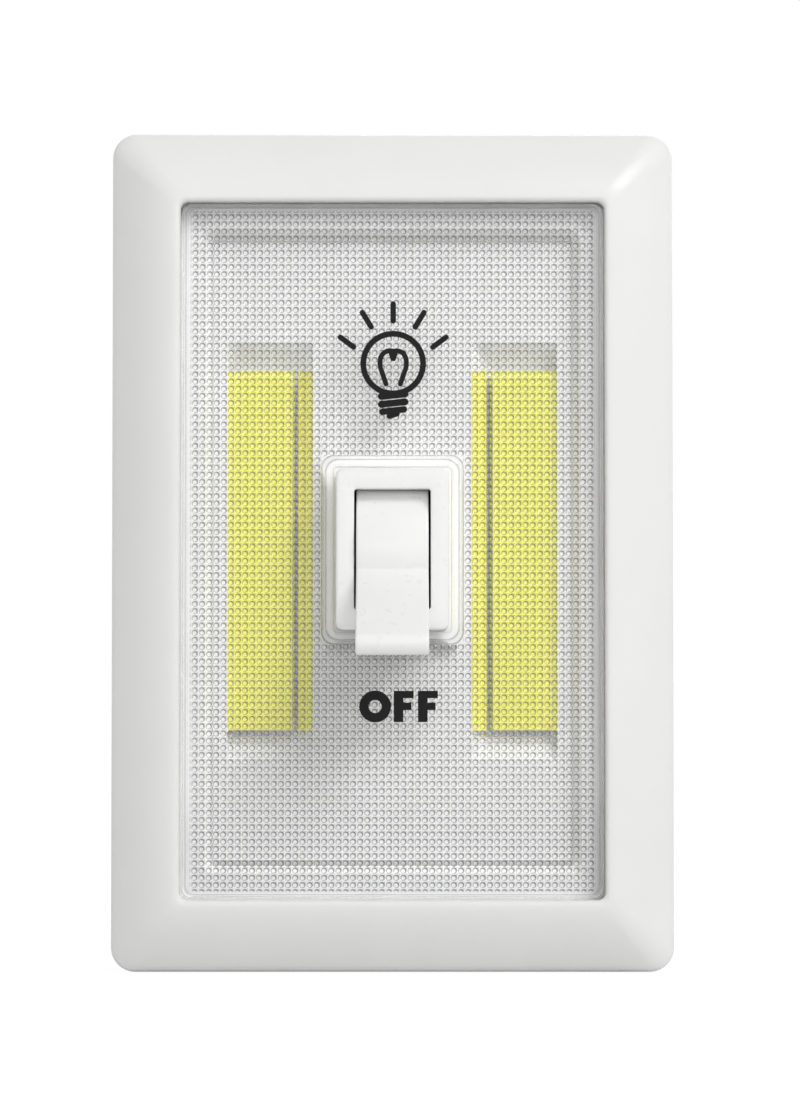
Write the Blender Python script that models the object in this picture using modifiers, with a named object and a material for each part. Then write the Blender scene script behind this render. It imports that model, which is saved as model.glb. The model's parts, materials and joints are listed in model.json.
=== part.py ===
"""Cordless light in the shape of a toggle wall switch: 77 x 115 mm, three AAA cells inside.

World frame: X runs to the right as seen from the front, Z up, and the front faces -Y.
The back face lies in the plane Y = 0, so a depth d below is a distance from that plane: y = -d.
All sizes are in millimetres and are turned to metres where an object is made.
"""
import math

import bmesh
import bpy
from mathutils import Matrix, Vector

MM = 0.001
COLLECTION = "toggle_wall_switch_light"

# Clearances
GAP = 0.3                  # between pieces that rest on or pass through each other
RUNNING_GAP = 0.35         # round the toggle's drum

# Outside
OUTER_W = 77.0
OUTER_H = 115.0
CORNER_R = 3.3
WALL = 1.8                 # side walls of both halves
BACK_WALL = 2.0
SEAM_D = 8.0               # rim of the rear housing
SIDE_TOP_D = 19.0          # where the bezel's slope starts
CREST_D = 25.0             # highest line of the bezel
WINDOW_W = 57.8
WINDOW_H = 95.1
WINDOW_R = 1.1
CREST_SHARE = 0.93         # how far across the bezel its crest lies
LIP_UNDER_D = 22.8         # back of the bezel's inner lip

# Lens
LENS_FRONT_D = 24.0
LENS_T = 1.5
LENS_FLANGE = 1.65         # the flange's reach past the window
LENS_FLANGE_T = 1.0
COLLAR_W = 19.5
COLLAR_H = 25.9
COLLAR_R = 1.8
COLLAR_RISE = 1.0
COLLAR_EDGE = 0.4

# Reflector tray
TRAY_T = 1.2
TRAY_STEP_W = 51.8         # top of the step, inside the flat rim
TRAY_STEP_H = 87.8
TRAY_STEP_IN = 1.3         # width of the sloping step
TRAY_STEP_DROP = 2.0
TRAY_POST_R = 1.8
POCKET_X = 16.7            # centre of a pocket's mouth
POCKET_W = 11.4
POCKET_H = 57.4
POCKET_DEPTH = 2.6
POCKET_INNER_SLOPE = 2.3   # the slope on the switch's side
POCKET_END_SLOPE = 3.75
POCKET_R = 0.6
LEAD_HOLE_R = 1.0
LEAD_HOLE_UP = 22.0

# Light strips
COB_BOARD_T = 1.0
PHOSPHOR_T = 0.7

# Switch surround
SURROUND_W = 15.4
SURROUND_H = 21.9
SURROUND_R = 1.0
SURROUND_FACE_D = 26.8
SURROUND_EDGE = 0.5
SURROUND_FLANGE = 1.6
SURROUND_FLANGE_T = 1.2
SURROUND_SKIRT_WALL = 1.7
OPENING_H = 16.4
CLIP_TAB_H = 8.2
CLIP_TAB_T = 1.5

# Toggle lever
LEVER_W = 9.8
PIVOT_D = 18.3
DRUM_R = 9.5
DRUM_HALF_ANGLE = 82.0
ARM_REST_ANGLE = 32.0      # below the straight-out direction
ARM_ROOT_T = 4.46
ARM_TIP_T = 3.2
ARM_LENGTH = 24.6          # from the pivot to the middle of the rounded tip
STUB_R = 1.5
STUB_LENGTH = 1.7
STUB_CLEARANCE = 0.3

# Slide switch on the circuit board
KNOB_REACH = 3.4           # from the pivot back to the knob's tip
KNOB_TIP_R = 1.0
FORK_END = 4.4
FORK_PRONG_T = 1.3
SWITCH_W = 8.4
SWITCH_H = 11.0
SWITCH_T = 4.0
CAN_WALL = 0.4
SWITCH_BASE_T = 1.4
KNOB_FOOT_W = 4.0
KNOB_FOOT_H = 3.0
KNOB_FOOT_T = 1.2
KNOB_STEM_W = 2.4
KNOB_STEM_T = 1.4

# Circuit board
BOARD_W = 40.0
BOARD_TOP_Z = 19.0
BOARD_BOTTOM_Z = -12.4
BOARD_T = 1.2
BOARD_D = 5.5              # its back face
BOARD_POST_X = 16.0
BOARD_POST_UP_Z = 14.0
BOARD_POST_LOW_Z = -8.0
BOARD_POST_R = 2.2
RESISTOR_W = 3.2
RESISTOR_H = 1.6
RESISTOR_T = 0.6
RESISTOR_X = 13.0
RESISTOR_Z = 4.0

# Screws
SCREW_R = 1.0
SCREW_HEAD_R = 2.1
SCREW_HEAD_T = 0.9
HOUSING_SCREW_INSET = 5.2
HOUSING_SCREW_LENGTH = 10.0
HOUSING_BOSS_R = 2.4
HOUSING_BOSS_TOP_D = 21.0
BOARD_SCREW_LENGTH = 3.6
RECESS_DEPTH = 1.2

# Cells and their bay
CELL_R = 5.25
CELL_LENGTH = 43.6
CELL_NUB_R = 1.9
CELL_NUB_LENGTH = 0.9
CELL_ROW_GAP = 0.5
CELL_COUNT = 3
BAY_CENTRE_Z = -31.3
BAY_WALL = 1.5
BAY_ROOF_T = 1.4
CONTACT_T = 0.5
CONTACT_WIDTH = 7.0
SPRING_ROOM = 4.6          # from a contact plate to the cell's flat end
SPRING_BIG_R = 2.8
SPRING_SMALL_R = 1.5
SPRING_WIRE_R = 0.25
SPRING_TURNS = 3
TAB_WIDTH = 2.4
TAB_TOP_D = 15.7

# Battery door
DOOR_T = 1.6
DOOR_AXIS_D = 1.3
DOOR_BARREL_R = 1.0
DOOR_PIN_R = 0.6
DOOR_PIN_LENGTH = 1.0
DOOR_TOP_ROOM = 1.5        # from the hinge's axis to the edge of the bay
DOOR_GRIP_W = 12.0
DOOR_GRIP_RIBS = 3

# Hanging hole and magnets
KEYHOLE_Z = 36.0
KEYHOLE_R = 4.0
KEYHOLE_SLOT_W = 4.0
KEYHOLE_SLOT_RISE = 8.0
MAGNET_X = 24.0
MAGNET_Z = 30.0
MAGNET_R = 5.0
MAGNET_T = 1.95
MAGNET_CUP_WALL = 1.0
MAGNET_CUP_FLOOR = 1.1

# Wires
WIRE_R = 0.5

# Worked out from the sizes above
BEZEL_W = (OUTER_W - WINDOW_W) / 2
BEZEL_H = (OUTER_H - WINDOW_H) / 2
LENS_BACK_D = LENS_FRONT_D - LENS_T
FLANGE_W = WINDOW_W + 2 * LENS_FLANGE
FLANGE_H = WINDOW_H + 2 * LENS_FLANGE
FLANGE_FRONT_D = LIP_UNDER_D - GAP
FLANGE_BACK_D = FLANGE_FRONT_D - LENS_FLANGE_T
TRAY_RIM_D = FLANGE_BACK_D - GAP
TRAY_FLOOR_D = TRAY_RIM_D - TRAY_STEP_DROP
POCKET_FLOOR_D = TRAY_FLOOR_D - POCKET_DEPTH
COB_BOARD_D = POCKET_FLOOR_D + GAP
PHOSPHOR_D = COB_BOARD_D + COB_BOARD_T + GAP
SURROUND_FLANGE_D = TRAY_FLOOR_D + GAP
OPENING_W = LEVER_W + 2 * GAP
CAVITY_R = DRUM_R + RUNNING_GAP
SKIRT_H = 2 * (CAVITY_R + SURROUND_SKIRT_WALL)
BOARD_FRONT_D = BOARD_D + BOARD_T
SWITCH_D = BOARD_FRONT_D + GAP
KNOB_TRAVEL = KNOB_REACH * math.tan(math.radians(ARM_REST_ANGLE))
KNOB_TIP_D = PIVOT_D - KNOB_REACH
CELL_PITCH = 2 * CELL_R + CELL_ROW_GAP
BAY_H = CELL_COUNT * CELL_PITCH + CELL_ROW_GAP
BAY_TOP_Z = BAY_CENTRE_Z + BAY_H / 2 + DOOR_TOP_ROOM - DOOR_BARREL_R
BAY_BOTTOM_Z = BAY_CENTRE_Z - BAY_H / 2
CELL_D = DOOR_AXIS_D + DOOR_BARREL_R + GAP / 2 + CELL_R
BAY_ROOF_D = CELL_D + CELL_R + GAP
BAY_W = CELL_LENGTH + CELL_NUB_LENGTH + SPRING_ROOM + 2 * CONTACT_T + 3 * GAP
CONTACT_X = BAY_W / 2 - GAP - CONTACT_T / 2
DOOR_AXIS_Z = BAY_TOP_Z - DOOR_TOP_ROOM
SCREW_X = OUTER_W / 2 - HOUSING_SCREW_INSET
SCREW_Z = OUTER_H / 2 - HOUSING_SCREW_INSET


def clear_scene():
    """Removes whatever the scene holds."""
    for thing in list(bpy.data.objects):
        bpy.data.objects.remove(thing, do_unlink=True)


def make_collection(name):
    """A collection linked to the scene."""
    group = bpy.data.collections.new(name)
    bpy.context.scene.collection.children.link(group)
    return group


def make_material(name, colour, roughness, metallic=0.0, transmission=0.0):
    """A Principled material; the colour is linear."""
    material = bpy.data.materials.new(name)
    material.use_nodes = True
    shader = material.node_tree.nodes["Principled BSDF"]
    shader.inputs["Base Color"].default_value = (*colour, 1.0)
    shader.inputs["Roughness"].default_value = roughness
    shader.inputs["Metallic"].default_value = metallic
    shader.inputs["Transmission Weight"].default_value = transmission
    material.diffuse_color = (*colour, 1.0)
    return material


def place(x, d, z):
    """A point in metres from millimetres, with the depth measured from the back."""
    return Vector((x, -d, z)) * MM


def add_mesh(name, bm, group):
    """Puts a bmesh into a new object of a collection."""
    mesh = bpy.data.meshes.new(name)
    bmesh.ops.recalc_face_normals(bm, faces=bm.faces)
    bm.to_mesh(mesh)
    bm.free()
    thing = bpy.data.objects.new(name, mesh)
    group.objects.link(thing)
    return thing


def section(width, height, radius, d, x=0.0, z=0.0):
    """One section of a loft: a rounded rectangle at a depth."""
    return {"w": width, "h": height, "r": radius, "d": d, "x": x, "z": z}


def section_points(part, steps):
    """The points of a rounded rectangle, anticlockwise as seen from the front."""
    radius = max(part["r"], 0.02)
    reach_x = part["w"] / 2 - radius
    reach_z = part["h"] / 2 - radius
    points = []
    for corner, (side_x, side_z) in enumerate(((1, 1), (-1, 1), (-1, -1), (1, -1))):
        for step in range(steps + 1):
            angle = math.radians(90 * (corner + step / steps))
            x = part["x"] + side_x * reach_x + radius * math.cos(angle)
            z = part["z"] + side_z * reach_z + radius * math.sin(angle)
            points.append(place(x, part["d"], z))
    return points


def loft(name, sections, group, ring=False, steps=5):
    """A solid through rounded rectangles: capped at both ends, or closed on itself as a ring."""
    bm = bmesh.new()
    loops = [[bm.verts.new(p) for p in section_points(part, steps)] for part in sections]
    pairs = list(zip(loops, loops[1:]))
    if ring:
        pairs.append((loops[-1], loops[0]))
    for low, high in pairs:
        for i in range(len(low)):
            j = (i + 1) % len(low)
            bm.faces.new((low[i], low[j], high[j], high[i]))
    if not ring:
        bm.faces.new(list(reversed(loops[0])))
        bm.faces.new(loops[-1])
    return add_mesh(name, bm, group)


def block(name, x, d, z, group):
    """A box from its lowest and highest x, d and z."""
    bm = bmesh.new()
    bmesh.ops.create_cube(bm, size=1.0)
    size = Vector((x[1] - x[0], d[1] - d[0], z[1] - z[0])) * MM
    middle = place((x[0] + x[1]) / 2, (d[0] + d[1]) / 2, (z[0] + z[1]) / 2)
    bmesh.ops.transform(bm, matrix=Matrix.Translation(middle) @ Matrix.Diagonal((*size, 1.0)), verts=bm.verts)
    return add_mesh(name, bm, group)


def rod(name, start, end, radius, group, segments=20):
    """A cylinder between two points given as x, d, z."""
    low = place(*start)
    high = place(*end)
    bm = bmesh.new()
    bmesh.ops.create_cone(
        bm, cap_ends=True, segments=segments, radius1=radius * MM, radius2=radius * MM,
        depth=(high - low).length,
    )
    turn = (high - low).to_track_quat("Z", "Y").to_matrix().to_4x4()
    bmesh.ops.transform(bm, matrix=Matrix.Translation((low + high) / 2) @ turn, verts=bm.verts)
    return add_mesh(name, bm, group)


def combine(body, tool, operation):
    """Joins a tool to a body, or cuts it out, with a live Boolean."""
    tool.hide_render = True
    tool.display_type = "WIRE"
    modifier = body.modifiers.new(tool.name, "BOOLEAN")
    modifier.operation = operation
    modifier.solver = "EXACT"
    modifier.object = tool


def add(body, tool):
    combine(body, tool, "UNION")


def cut(body, tool):
    combine(body, tool, "DIFFERENCE")


def mesh_from_curve(thing, group):
    """Turns a curve object into a mesh object of the same name with its caps welded."""
    name = thing.name
    bpy.context.view_layer.update()
    evaluated = thing.evaluated_get(bpy.context.evaluated_depsgraph_get())
    mesh = bpy.data.meshes.new_from_object(evaluated)
    bm = bmesh.new()
    bm.from_mesh(mesh)
    bmesh.ops.remove_doubles(bm, verts=bm.verts, dist=1e-6)
    bm.to_mesh(mesh)
    bm.free()
    world = thing.matrix_world.copy()
    bpy.data.objects.remove(thing, do_unlink=True)
    result = bpy.data.objects.new(name, mesh)
    result.matrix_world = world
    group.objects.link(result)
    return result


def flat_outline(name, points, thickness, world, group):
    """A flat outline given in mm, extruded to a thickness and welded into a mesh object."""
    curve = bpy.data.curves.new(name, "CURVE")
    curve.dimensions = "2D"
    curve.fill_mode = "BOTH"
    curve.extrude = thickness / 2 * MM
    curve.render_resolution_u = 0
    spline = curve.splines.new("POLY")
    spline.points.add(len(points) - 1)
    for point, (u, v) in zip(spline.points, points):
        point.co = (u * MM, v * MM, 0.0, 1.0)
    spline.use_cyclic_u = True
    thing = bpy.data.objects.new(name, curve)
    thing.matrix_world = world
    group.objects.link(thing)
    return mesh_from_curve(thing, group)


def wire(name, points, radius, group):
    """A round wire through points given as x, d, z."""
    curve = bpy.data.curves.new(name, "CURVE")
    curve.dimensions = "3D"
    curve.bevel_depth = radius * MM
    curve.bevel_resolution = 2
    curve.use_fill_caps = True
    curve.render_resolution_u = 0
    spline = curve.splines.new("POLY")
    spline.points.add(len(points) - 1)
    for point, (x, d, z) in zip(spline.points, points):
        point.co = (*place(x, d, z), 1.0)
    thing = bpy.data.objects.new(name, curve)
    group.objects.link(thing)
    return thing


def smooth_route(corners, per_span=5):
    """Points of a Catmull-Rom curve through the corners of a wire's route."""
    knots = [Vector(corners[0])] + [Vector(c) for c in corners] + [Vector(corners[-1])]
    points = []
    for a, b, c, d in zip(knots, knots[1:], knots[2:], knots[3:]):
        for step in range(per_span):
            t = step / per_span
            point = 0.5 * (2 * b + (c - a) * t + (2 * a - 5 * b + 4 * c - d) * t * t
                           + (3 * b - a - 3 * c + d) * t ** 3)
            points.append(tuple(point))
    points.append(tuple(knots[-1]))
    return points


def turned(name, profile, start, group, flip=False, steps=20):
    """A turned shape along X: profile points are (radius, distance along X from start), far end first."""
    mesh = bpy.data.meshes.new(name)
    points = [(r * MM, 0.0, along * MM) for r, along in profile]
    edges = [(i, i + 1) for i in range(len(points) - 1)]
    mesh.from_pydata(points, edges, [])
    thing = bpy.data.objects.new(name, mesh)
    group.objects.link(thing)
    screw = thing.modifiers.new("turn", "SCREW")
    screw.axis = "Z"
    screw.steps = steps
    screw.render_steps = steps
    screw.use_merge_vertices = True
    screw.merge_threshold = 1e-6
    thing.location = place(*start)
    thing.rotation_euler = (0.0, math.radians(-90 if flip else 90), 0.0)
    return thing


def finish(thing, material, smooth=True):
    """Gives a piece its material, and smooth shading up to a sharp edge."""
    thing.data.materials.clear()
    thing.data.materials.append(material)
    if smooth and thing.type == "MESH":
        thing.data.shade_smooth()
        thing.data.set_sharp_from_angle(angle=math.radians(30))


def bezel_section(share, d):
    """The rounded rectangle a share of the way from the outside of the frame to its window."""
    width = OUTER_W - 2 * BEZEL_W * share
    height = OUTER_H - 2 * BEZEL_H * share
    return section(width, height, CORNER_R + (WINDOW_R - CORNER_R) * share, d)


def slope_d(share):
    """Depth of the bezel's outside: steep at the side wall, level at the crest."""
    rise = 1 - (1 - min(share / CREST_SHARE, 1.0)) ** 1.6
    return SIDE_TOP_D + (CREST_D - SIDE_TOP_D) * rise


def make_front_frame(parts, tools, material):
    """Side walls, sloping bezel with a rolled inner lip, and four screw bosses."""
    wall = WALL / BEZEL_W
    sections = [bezel_section(0, SEAM_D + GAP)]
    slope_steps = 6
    for step in range(slope_steps + 1):
        share = CREST_SHARE * step / slope_steps
        sections.append(bezel_section(share, slope_d(share)))
    lip_r = (1 - CREST_SHARE) * BEZEL_W
    for degrees in (35, 65, 90):
        angle = math.radians(degrees)
        share = CREST_SHARE + (1 - CREST_SHARE) * math.sin(angle)
        sections.append(bezel_section(share, CREST_D - lip_r * (1 - math.cos(angle))))
    sections.append(bezel_section(1.0, LIP_UNDER_D))
    under_start = 1 - (LENS_FLANGE + 2 * GAP) / BEZEL_W
    sections.append(bezel_section(under_start, LIP_UNDER_D))
    for share in (0.55, 0.32, wall):
        sections.append(bezel_section(share, slope_d(share - wall * 0.5) - WALL))
    sections.append(bezel_section(wall, SEAM_D + GAP))
    frame = loft("front_frame", sections, parts, ring=True)
    for side_x in (-1, 1):
        for side_z in (-1, 1):
            x = side_x * SCREW_X
            z = side_z * SCREW_Z
            name = f"frame_boss_{side_x}_{side_z}"
            low = (x, BACK_WALL + GAP, z)
            add(frame, rod(name, low, (x, HOUSING_BOSS_TOP_D, z), HOUSING_BOSS_R, tools))
            hole_end = BACK_WALL + HOUSING_SCREW_LENGTH + GAP
            cut(frame, rod(name + "_hole", (x, 0, z), (x, hole_end, z), SCREW_R + GAP, tools, 12))
    finish(frame, material)
    return frame


def make_lens(parts, material):
    """Clear plate with a flange behind the frame's lip and a raised collar round the switch."""
    plate_w = WINDOW_W - 2 * GAP
    plate_h = WINDOW_H - 2 * GAP
    hole_w = SURROUND_W + 2 * GAP
    hole_h = SURROUND_H + 2 * GAP
    collar_d = LENS_FRONT_D + COLLAR_RISE
    lens = loft("lens", [
        section(FLANGE_W, FLANGE_H, WINDOW_R + LENS_FLANGE, FLANGE_BACK_D),
        section(FLANGE_W, FLANGE_H, WINDOW_R + LENS_FLANGE, FLANGE_FRONT_D),
        section(plate_w, plate_h, WINDOW_R, FLANGE_FRONT_D),
        section(plate_w, plate_h, WINDOW_R, LENS_FRONT_D),
        section(COLLAR_W, COLLAR_H, COLLAR_R, LENS_FRONT_D),
        section(COLLAR_W - COLLAR_EDGE, COLLAR_H - COLLAR_EDGE, COLLAR_R - COLLAR_EDGE / 2, collar_d - 0.3),
        section(COLLAR_W - 2 * COLLAR_EDGE, COLLAR_H - 2 * COLLAR_EDGE, COLLAR_R - COLLAR_EDGE, collar_d),
        section(hole_w, hole_h, SURROUND_R, collar_d),
        section(hole_w, hole_h, SURROUND_R, LENS_BACK_D),
        section(plate_w - 2, plate_h - 2, WINDOW_R, LENS_BACK_D),
        section(plate_w - 2, plate_h - 2, WINDOW_R, FLANGE_BACK_D),
    ], parts, ring=True)
    finish(lens, material)
    return lens


def pocket_sections(side, grow, back_d, front_d):
    """A light pocket as a loft: upright outside wall, sloping ends and inner wall."""
    mouth = section(POCKET_W + 2 * grow, POCKET_H + 2 * grow, POCKET_R + grow, front_d, side * POCKET_X)
    floor = section(
        POCKET_W - POCKET_INNER_SLOPE + 2 * grow, POCKET_H - 2 * POCKET_END_SLOPE + 2 * grow,
        POCKET_R + grow, back_d, side * (POCKET_X + POCKET_INNER_SLOPE / 2),
    )
    return floor, mouth


def make_reflector_tray(parts, tools, material):
    """White tray with a stepped rim, a pocket on each side for a light strip, and four posts."""
    step_w = TRAY_STEP_W - 2 * TRAY_STEP_IN
    step_h = TRAY_STEP_H - 2 * TRAY_STEP_IN
    hole_w = SURROUND_W + 2 * GAP
    hole_h = SKIRT_H + 2 * GAP
    tray = loft("reflector_tray", [
        section(FLANGE_W, FLANGE_H, WINDOW_R + LENS_FLANGE, TRAY_RIM_D - TRAY_T),
        section(FLANGE_W, FLANGE_H, WINDOW_R + LENS_FLANGE, TRAY_RIM_D),
        section(TRAY_STEP_W, TRAY_STEP_H, 1.4, TRAY_RIM_D),
        section(step_w, step_h, 1.0, TRAY_FLOOR_D),
        section(hole_w, hole_h, SURROUND_R, TRAY_FLOOR_D),
        section(hole_w, hole_h, SURROUND_R, TRAY_FLOOR_D - TRAY_T),
        section(step_w + TRAY_T, step_h + TRAY_T, 1.4, TRAY_FLOOR_D - TRAY_T),
        section(TRAY_STEP_W + TRAY_T, TRAY_STEP_H + TRAY_T, 1.8, TRAY_RIM_D - TRAY_T),
    ], parts, ring=True)
    for side in (-1, 1):
        back_d = POCKET_FLOOR_D - TRAY_T
        floor, mouth = pocket_sections(side, TRAY_T, back_d, TRAY_FLOOR_D - TRAY_T / 2)
        add(tray, loft(f"tray_pocket_{side}", [floor, mouth], tools, steps=2))
    for side in (-1, 1):
        floor, mouth = pocket_sections(side, 0.0, POCKET_FLOOR_D, TRAY_FLOOR_D)
        above = dict(mouth, d=TRAY_FLOOR_D + 1)
        cut(tray, loft(f"tray_pocket_room_{side}", [floor, mouth, above], tools, steps=2))
        x = side * (POCKET_X + POCKET_INNER_SLOPE / 2)
        hole = rod(f"tray_lead_hole_{side}", (x, POCKET_FLOOR_D - 2, LEAD_HOLE_UP),
                   (x, POCKET_FLOOR_D + 1, LEAD_HOLE_UP), LEAD_HOLE_R, tools, 12)
        cut(tray, hole)
        post_x = side * (TRAY_STEP_W / 2 + TRAY_T / 2 + TRAY_POST_R)
        post_z = TRAY_STEP_H / 2 + TRAY_T / 2 + TRAY_POST_R
        for up, foot_d in ((1, BACK_WALL + GAP), (-1, BAY_ROOF_D + BAY_ROOF_T + GAP)):
            top = (post_x, TRAY_RIM_D - TRAY_T / 2, up * post_z)
            foot = (post_x, foot_d, up * post_z)
            add(tray, rod(f"tray_post_{side}_{up}", foot, top, TRAY_POST_R, tools, 12))
    finish(tray, material)
    return tray


def make_light_strips(parts, board_material, phosphor_material):
    """A board and its phosphor layer in each pocket."""
    width = POCKET_W - POCKET_INNER_SLOPE - 2 * GAP
    height = POCKET_H - 2 * POCKET_END_SLOPE - 2 * GAP
    for side, label in ((-1, "left"), (1, "right")):
        x = side * (POCKET_X + POCKET_INNER_SLOPE / 2)
        board = loft(f"cob_board_{label}", [
            section(width, height, POCKET_R, COB_BOARD_D, x),
            section(width, height, POCKET_R, COB_BOARD_D + COB_BOARD_T, x),
        ], parts, steps=2)
        finish(board, board_material)
        phosphor = loft(f"cob_phosphor_{label}", [
            section(width, height, POCKET_R, PHOSPHOR_D, x),
            section(width, height, POCKET_R, PHOSPHOR_D + PHOSPHOR_T * 0.6, x),
            section(width - 0.6, height - 0.6, POCKET_R, PHOSPHOR_D + PHOSPHOR_T, x),
        ], parts, steps=2)
        finish(phosphor, phosphor_material)


def make_switch_surround(parts, tools, material):
    """Neck through the lens, flange on the tray, and a skirt down to the circuit board."""
    flange_w = SURROUND_W + 2 * SURROUND_FLANGE
    flange_h = SKIRT_H + 2 * SURROUND_FLANGE
    flange_top = SURROUND_FLANGE_D + SURROUND_FLANGE_T
    face_w = SURROUND_W - 2 * SURROUND_EDGE
    face_h = SURROUND_H - 2 * SURROUND_EDGE
    surround = loft("switch_surround", [
        section(SURROUND_W, SKIRT_H, SURROUND_R, SWITCH_D),
        section(SURROUND_W, SKIRT_H, SURROUND_R, SURROUND_FLANGE_D),
        section(flange_w, flange_h, SURROUND_R, SURROUND_FLANGE_D),
        section(flange_w, flange_h, SURROUND_R, flange_top),
        section(SURROUND_W, SURROUND_H, SURROUND_R, flange_top),
        section(SURROUND_W, SURROUND_H, SURROUND_R, SURROUND_FACE_D - SURROUND_EDGE),
        section(face_w + SURROUND_EDGE, face_h + SURROUND_EDGE, SURROUND_R, SURROUND_FACE_D - SURROUND_EDGE * 0.3),
        section(face_w, face_h, SURROUND_R, SURROUND_FACE_D),
    ], parts)
    reach = OPENING_W / 2
    tab_reach = SURROUND_W / 2 + CLIP_TAB_T
    tab_d = (flange_top - 0.2, LENS_BACK_D - GAP)
    tab_z = (-CLIP_TAB_H / 2, CLIP_TAB_H / 2)
    add(surround, block("clip_tabs", (-tab_reach, tab_reach), tab_d, tab_z, tools))
    mouth = section(OPENING_W, OPENING_H, 0.5, PIVOT_D)
    cut(surround, loft("opening", [mouth, dict(mouth, d=SURROUND_FACE_D + 1)], tools, steps=2))
    room_z = (-CAVITY_R, CAVITY_R)
    cut(surround, block("skirt_room", (-reach, reach), (SWITCH_D - 1, PIVOT_D), room_z, tools))
    drum_room = rod("drum_room", (-reach, PIVOT_D, 0), (reach, PIVOT_D, 0), CAVITY_R, tools, 48)
    cut(surround, drum_room)
    socket = LEVER_W / 2 + STUB_LENGTH + GAP
    socket_r = STUB_R + STUB_CLEARANCE
    cut(surround, rod("pivot_sockets", (-socket, PIVOT_D, 0), (socket, PIVOT_D, 0), socket_r, tools, 24))
    finish(surround, material)
    return surround


def arc(radius, start, end, steps, centre=(0.0, 0.0)):
    """Points of an arc from one angle to another, in degrees."""
    points = []
    for step in range(steps + 1):
        angle = math.radians(start + (end - start) * step / steps)
        points.append((centre[0] + radius * math.cos(angle), centre[1] + radius * math.sin(angle)))
    return points


def lever_outline():
    """The lever seen from its side: the arm along +u, the drum round the pivot, the fork behind it."""
    half_root = ARM_ROOT_T / 2
    half_tip = ARM_TIP_T / 2
    slot = KNOB_TIP_R + GAP
    prong = slot + FORK_PRONG_T
    slot_end = KNOB_REACH - KNOB_TIP_R - 1.3 * GAP
    root_angle = math.degrees(math.asin(half_root / DRUM_R))
    points = arc(half_tip, -86, 86, 8, (ARM_LENGTH, 0.0))
    points += arc(DRUM_R, root_angle, DRUM_HALF_ANGLE, 14)
    points += [(-FORK_END * 0.3, prong), (-FORK_END, prong), (-FORK_END, slot), (-slot_end, slot)]
    points += [(-slot_end, -slot), (-FORK_END, -slot), (-FORK_END, -prong), (-FORK_END * 0.3, -prong)]
    points += arc(DRUM_R, -DRUM_HALF_ANGLE, -root_angle, 14)
    return points


def make_toggle_lever(parts, tools, material):
    """Arm, drum, fork and two pivot stubs, with the origin on the pivot."""
    axes = Matrix(((0, 0, -1), (-1, 0, 0), (0, 1, 0))).to_4x4()
    turn = Matrix.Rotation(math.radians(ARM_REST_ANGLE), 4, "X")
    world = Matrix.Translation(place(0, PIVOT_D, 0)) @ turn @ axes
    lever = flat_outline("toggle_lever", lever_outline(), LEVER_W, world, parts)
    end = LEVER_W / 2 + STUB_LENGTH
    add(lever, rod("pivot_stubs", (-end, PIVOT_D, 0), (end, PIVOT_D, 0), STUB_R, tools, 20))
    finish(lever, material)
    return lever


def make_slide_switch(parts, tools, metal, plastic, knob_plastic):
    """The switch's metal can, its base and its knob, whose tip runs in the lever's fork."""
    top_d = SWITCH_D + SWITCH_T
    half_w = SWITCH_W / 2
    half_h = SWITCH_H / 2
    can = block("slide_switch_can", (-half_w, half_w), (SWITCH_D, top_d), (-half_h, half_h), parts)
    inner_w = half_w - CAN_WALL
    inner_h = half_h - CAN_WALL
    inner_d = (SWITCH_D - 1, top_d - CAN_WALL)
    cut(can, block("can_room", (-inner_w, inner_w), inner_d, (-inner_h, inner_h), tools))
    slot_x = KNOB_STEM_W / 2 + GAP
    slot_z = KNOB_TRAVEL + KNOB_STEM_T / 2 + GAP
    cut(can, block("can_slot", (-slot_x, slot_x), (top_d - 1, top_d + 1), (-slot_z, slot_z), tools))
    finish(can, metal, smooth=False)
    base_w = inner_w - GAP
    base_h = inner_h - GAP
    base_d = (SWITCH_D, SWITCH_D + SWITCH_BASE_T)
    base = block("slide_switch_base", (-base_w, base_w), base_d, (-base_h, base_h), parts)
    finish(base, plastic, smooth=False)
    foot_d = base_d[1] + GAP
    z = KNOB_TRAVEL
    foot_x = (-KNOB_FOOT_W / 2, KNOB_FOOT_W / 2)
    foot_z = (z - KNOB_FOOT_H / 2, z + KNOB_FOOT_H / 2)
    knob = block("slide_switch_knob", foot_x, (foot_d, foot_d + KNOB_FOOT_T), foot_z, parts)
    stem_x = (-KNOB_STEM_W / 2, KNOB_STEM_W / 2)
    stem_z = (z - KNOB_STEM_T / 2, z + KNOB_STEM_T / 2)
    add(knob, block("knob_stem", stem_x, (foot_d + 0.2, KNOB_TIP_D), stem_z, tools))
    tip_reach = KNOB_STEM_W / 2 + 0.1
    tip_ends = ((-tip_reach, KNOB_TIP_D, z), (tip_reach, KNOB_TIP_D, z))
    add(knob, rod("knob_tip", *tip_ends, KNOB_TIP_R, tools, 16))
    finish(knob, knob_plastic)


def make_circuit_board(parts, tools, material, resistor_material):
    """The board with its screw holes, and two resistors on it."""
    z = (BOARD_BOTTOM_Z, BOARD_TOP_Z)
    board = block("circuit_board", (-BOARD_W / 2, BOARD_W / 2), (BOARD_D, BOARD_FRONT_D), z, parts)
    for side in (-1, 1):
        x = side * BOARD_POST_X
        ends = ((x, BOARD_D - 1, BOARD_POST_UP_Z), (x, BOARD_FRONT_D + 1, BOARD_POST_UP_Z))
        cut(board, rod(f"board_hole_{side}", *ends, SCREW_R + GAP, tools, 12))
    finish(board, material, smooth=False)
    for side, label in ((-1, "left"), (1, "right")):
        x = side * RESISTOR_X
        resistor = block(
            f"resistor_{label}", (x - RESISTOR_W / 2, x + RESISTOR_W / 2),
            (SWITCH_D, SWITCH_D + RESISTOR_T), (RESISTOR_Z - RESISTOR_H / 2, RESISTOR_Z + RESISTOR_H / 2), parts,
        )
        finish(resistor, resistor_material, smooth=False)


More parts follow.
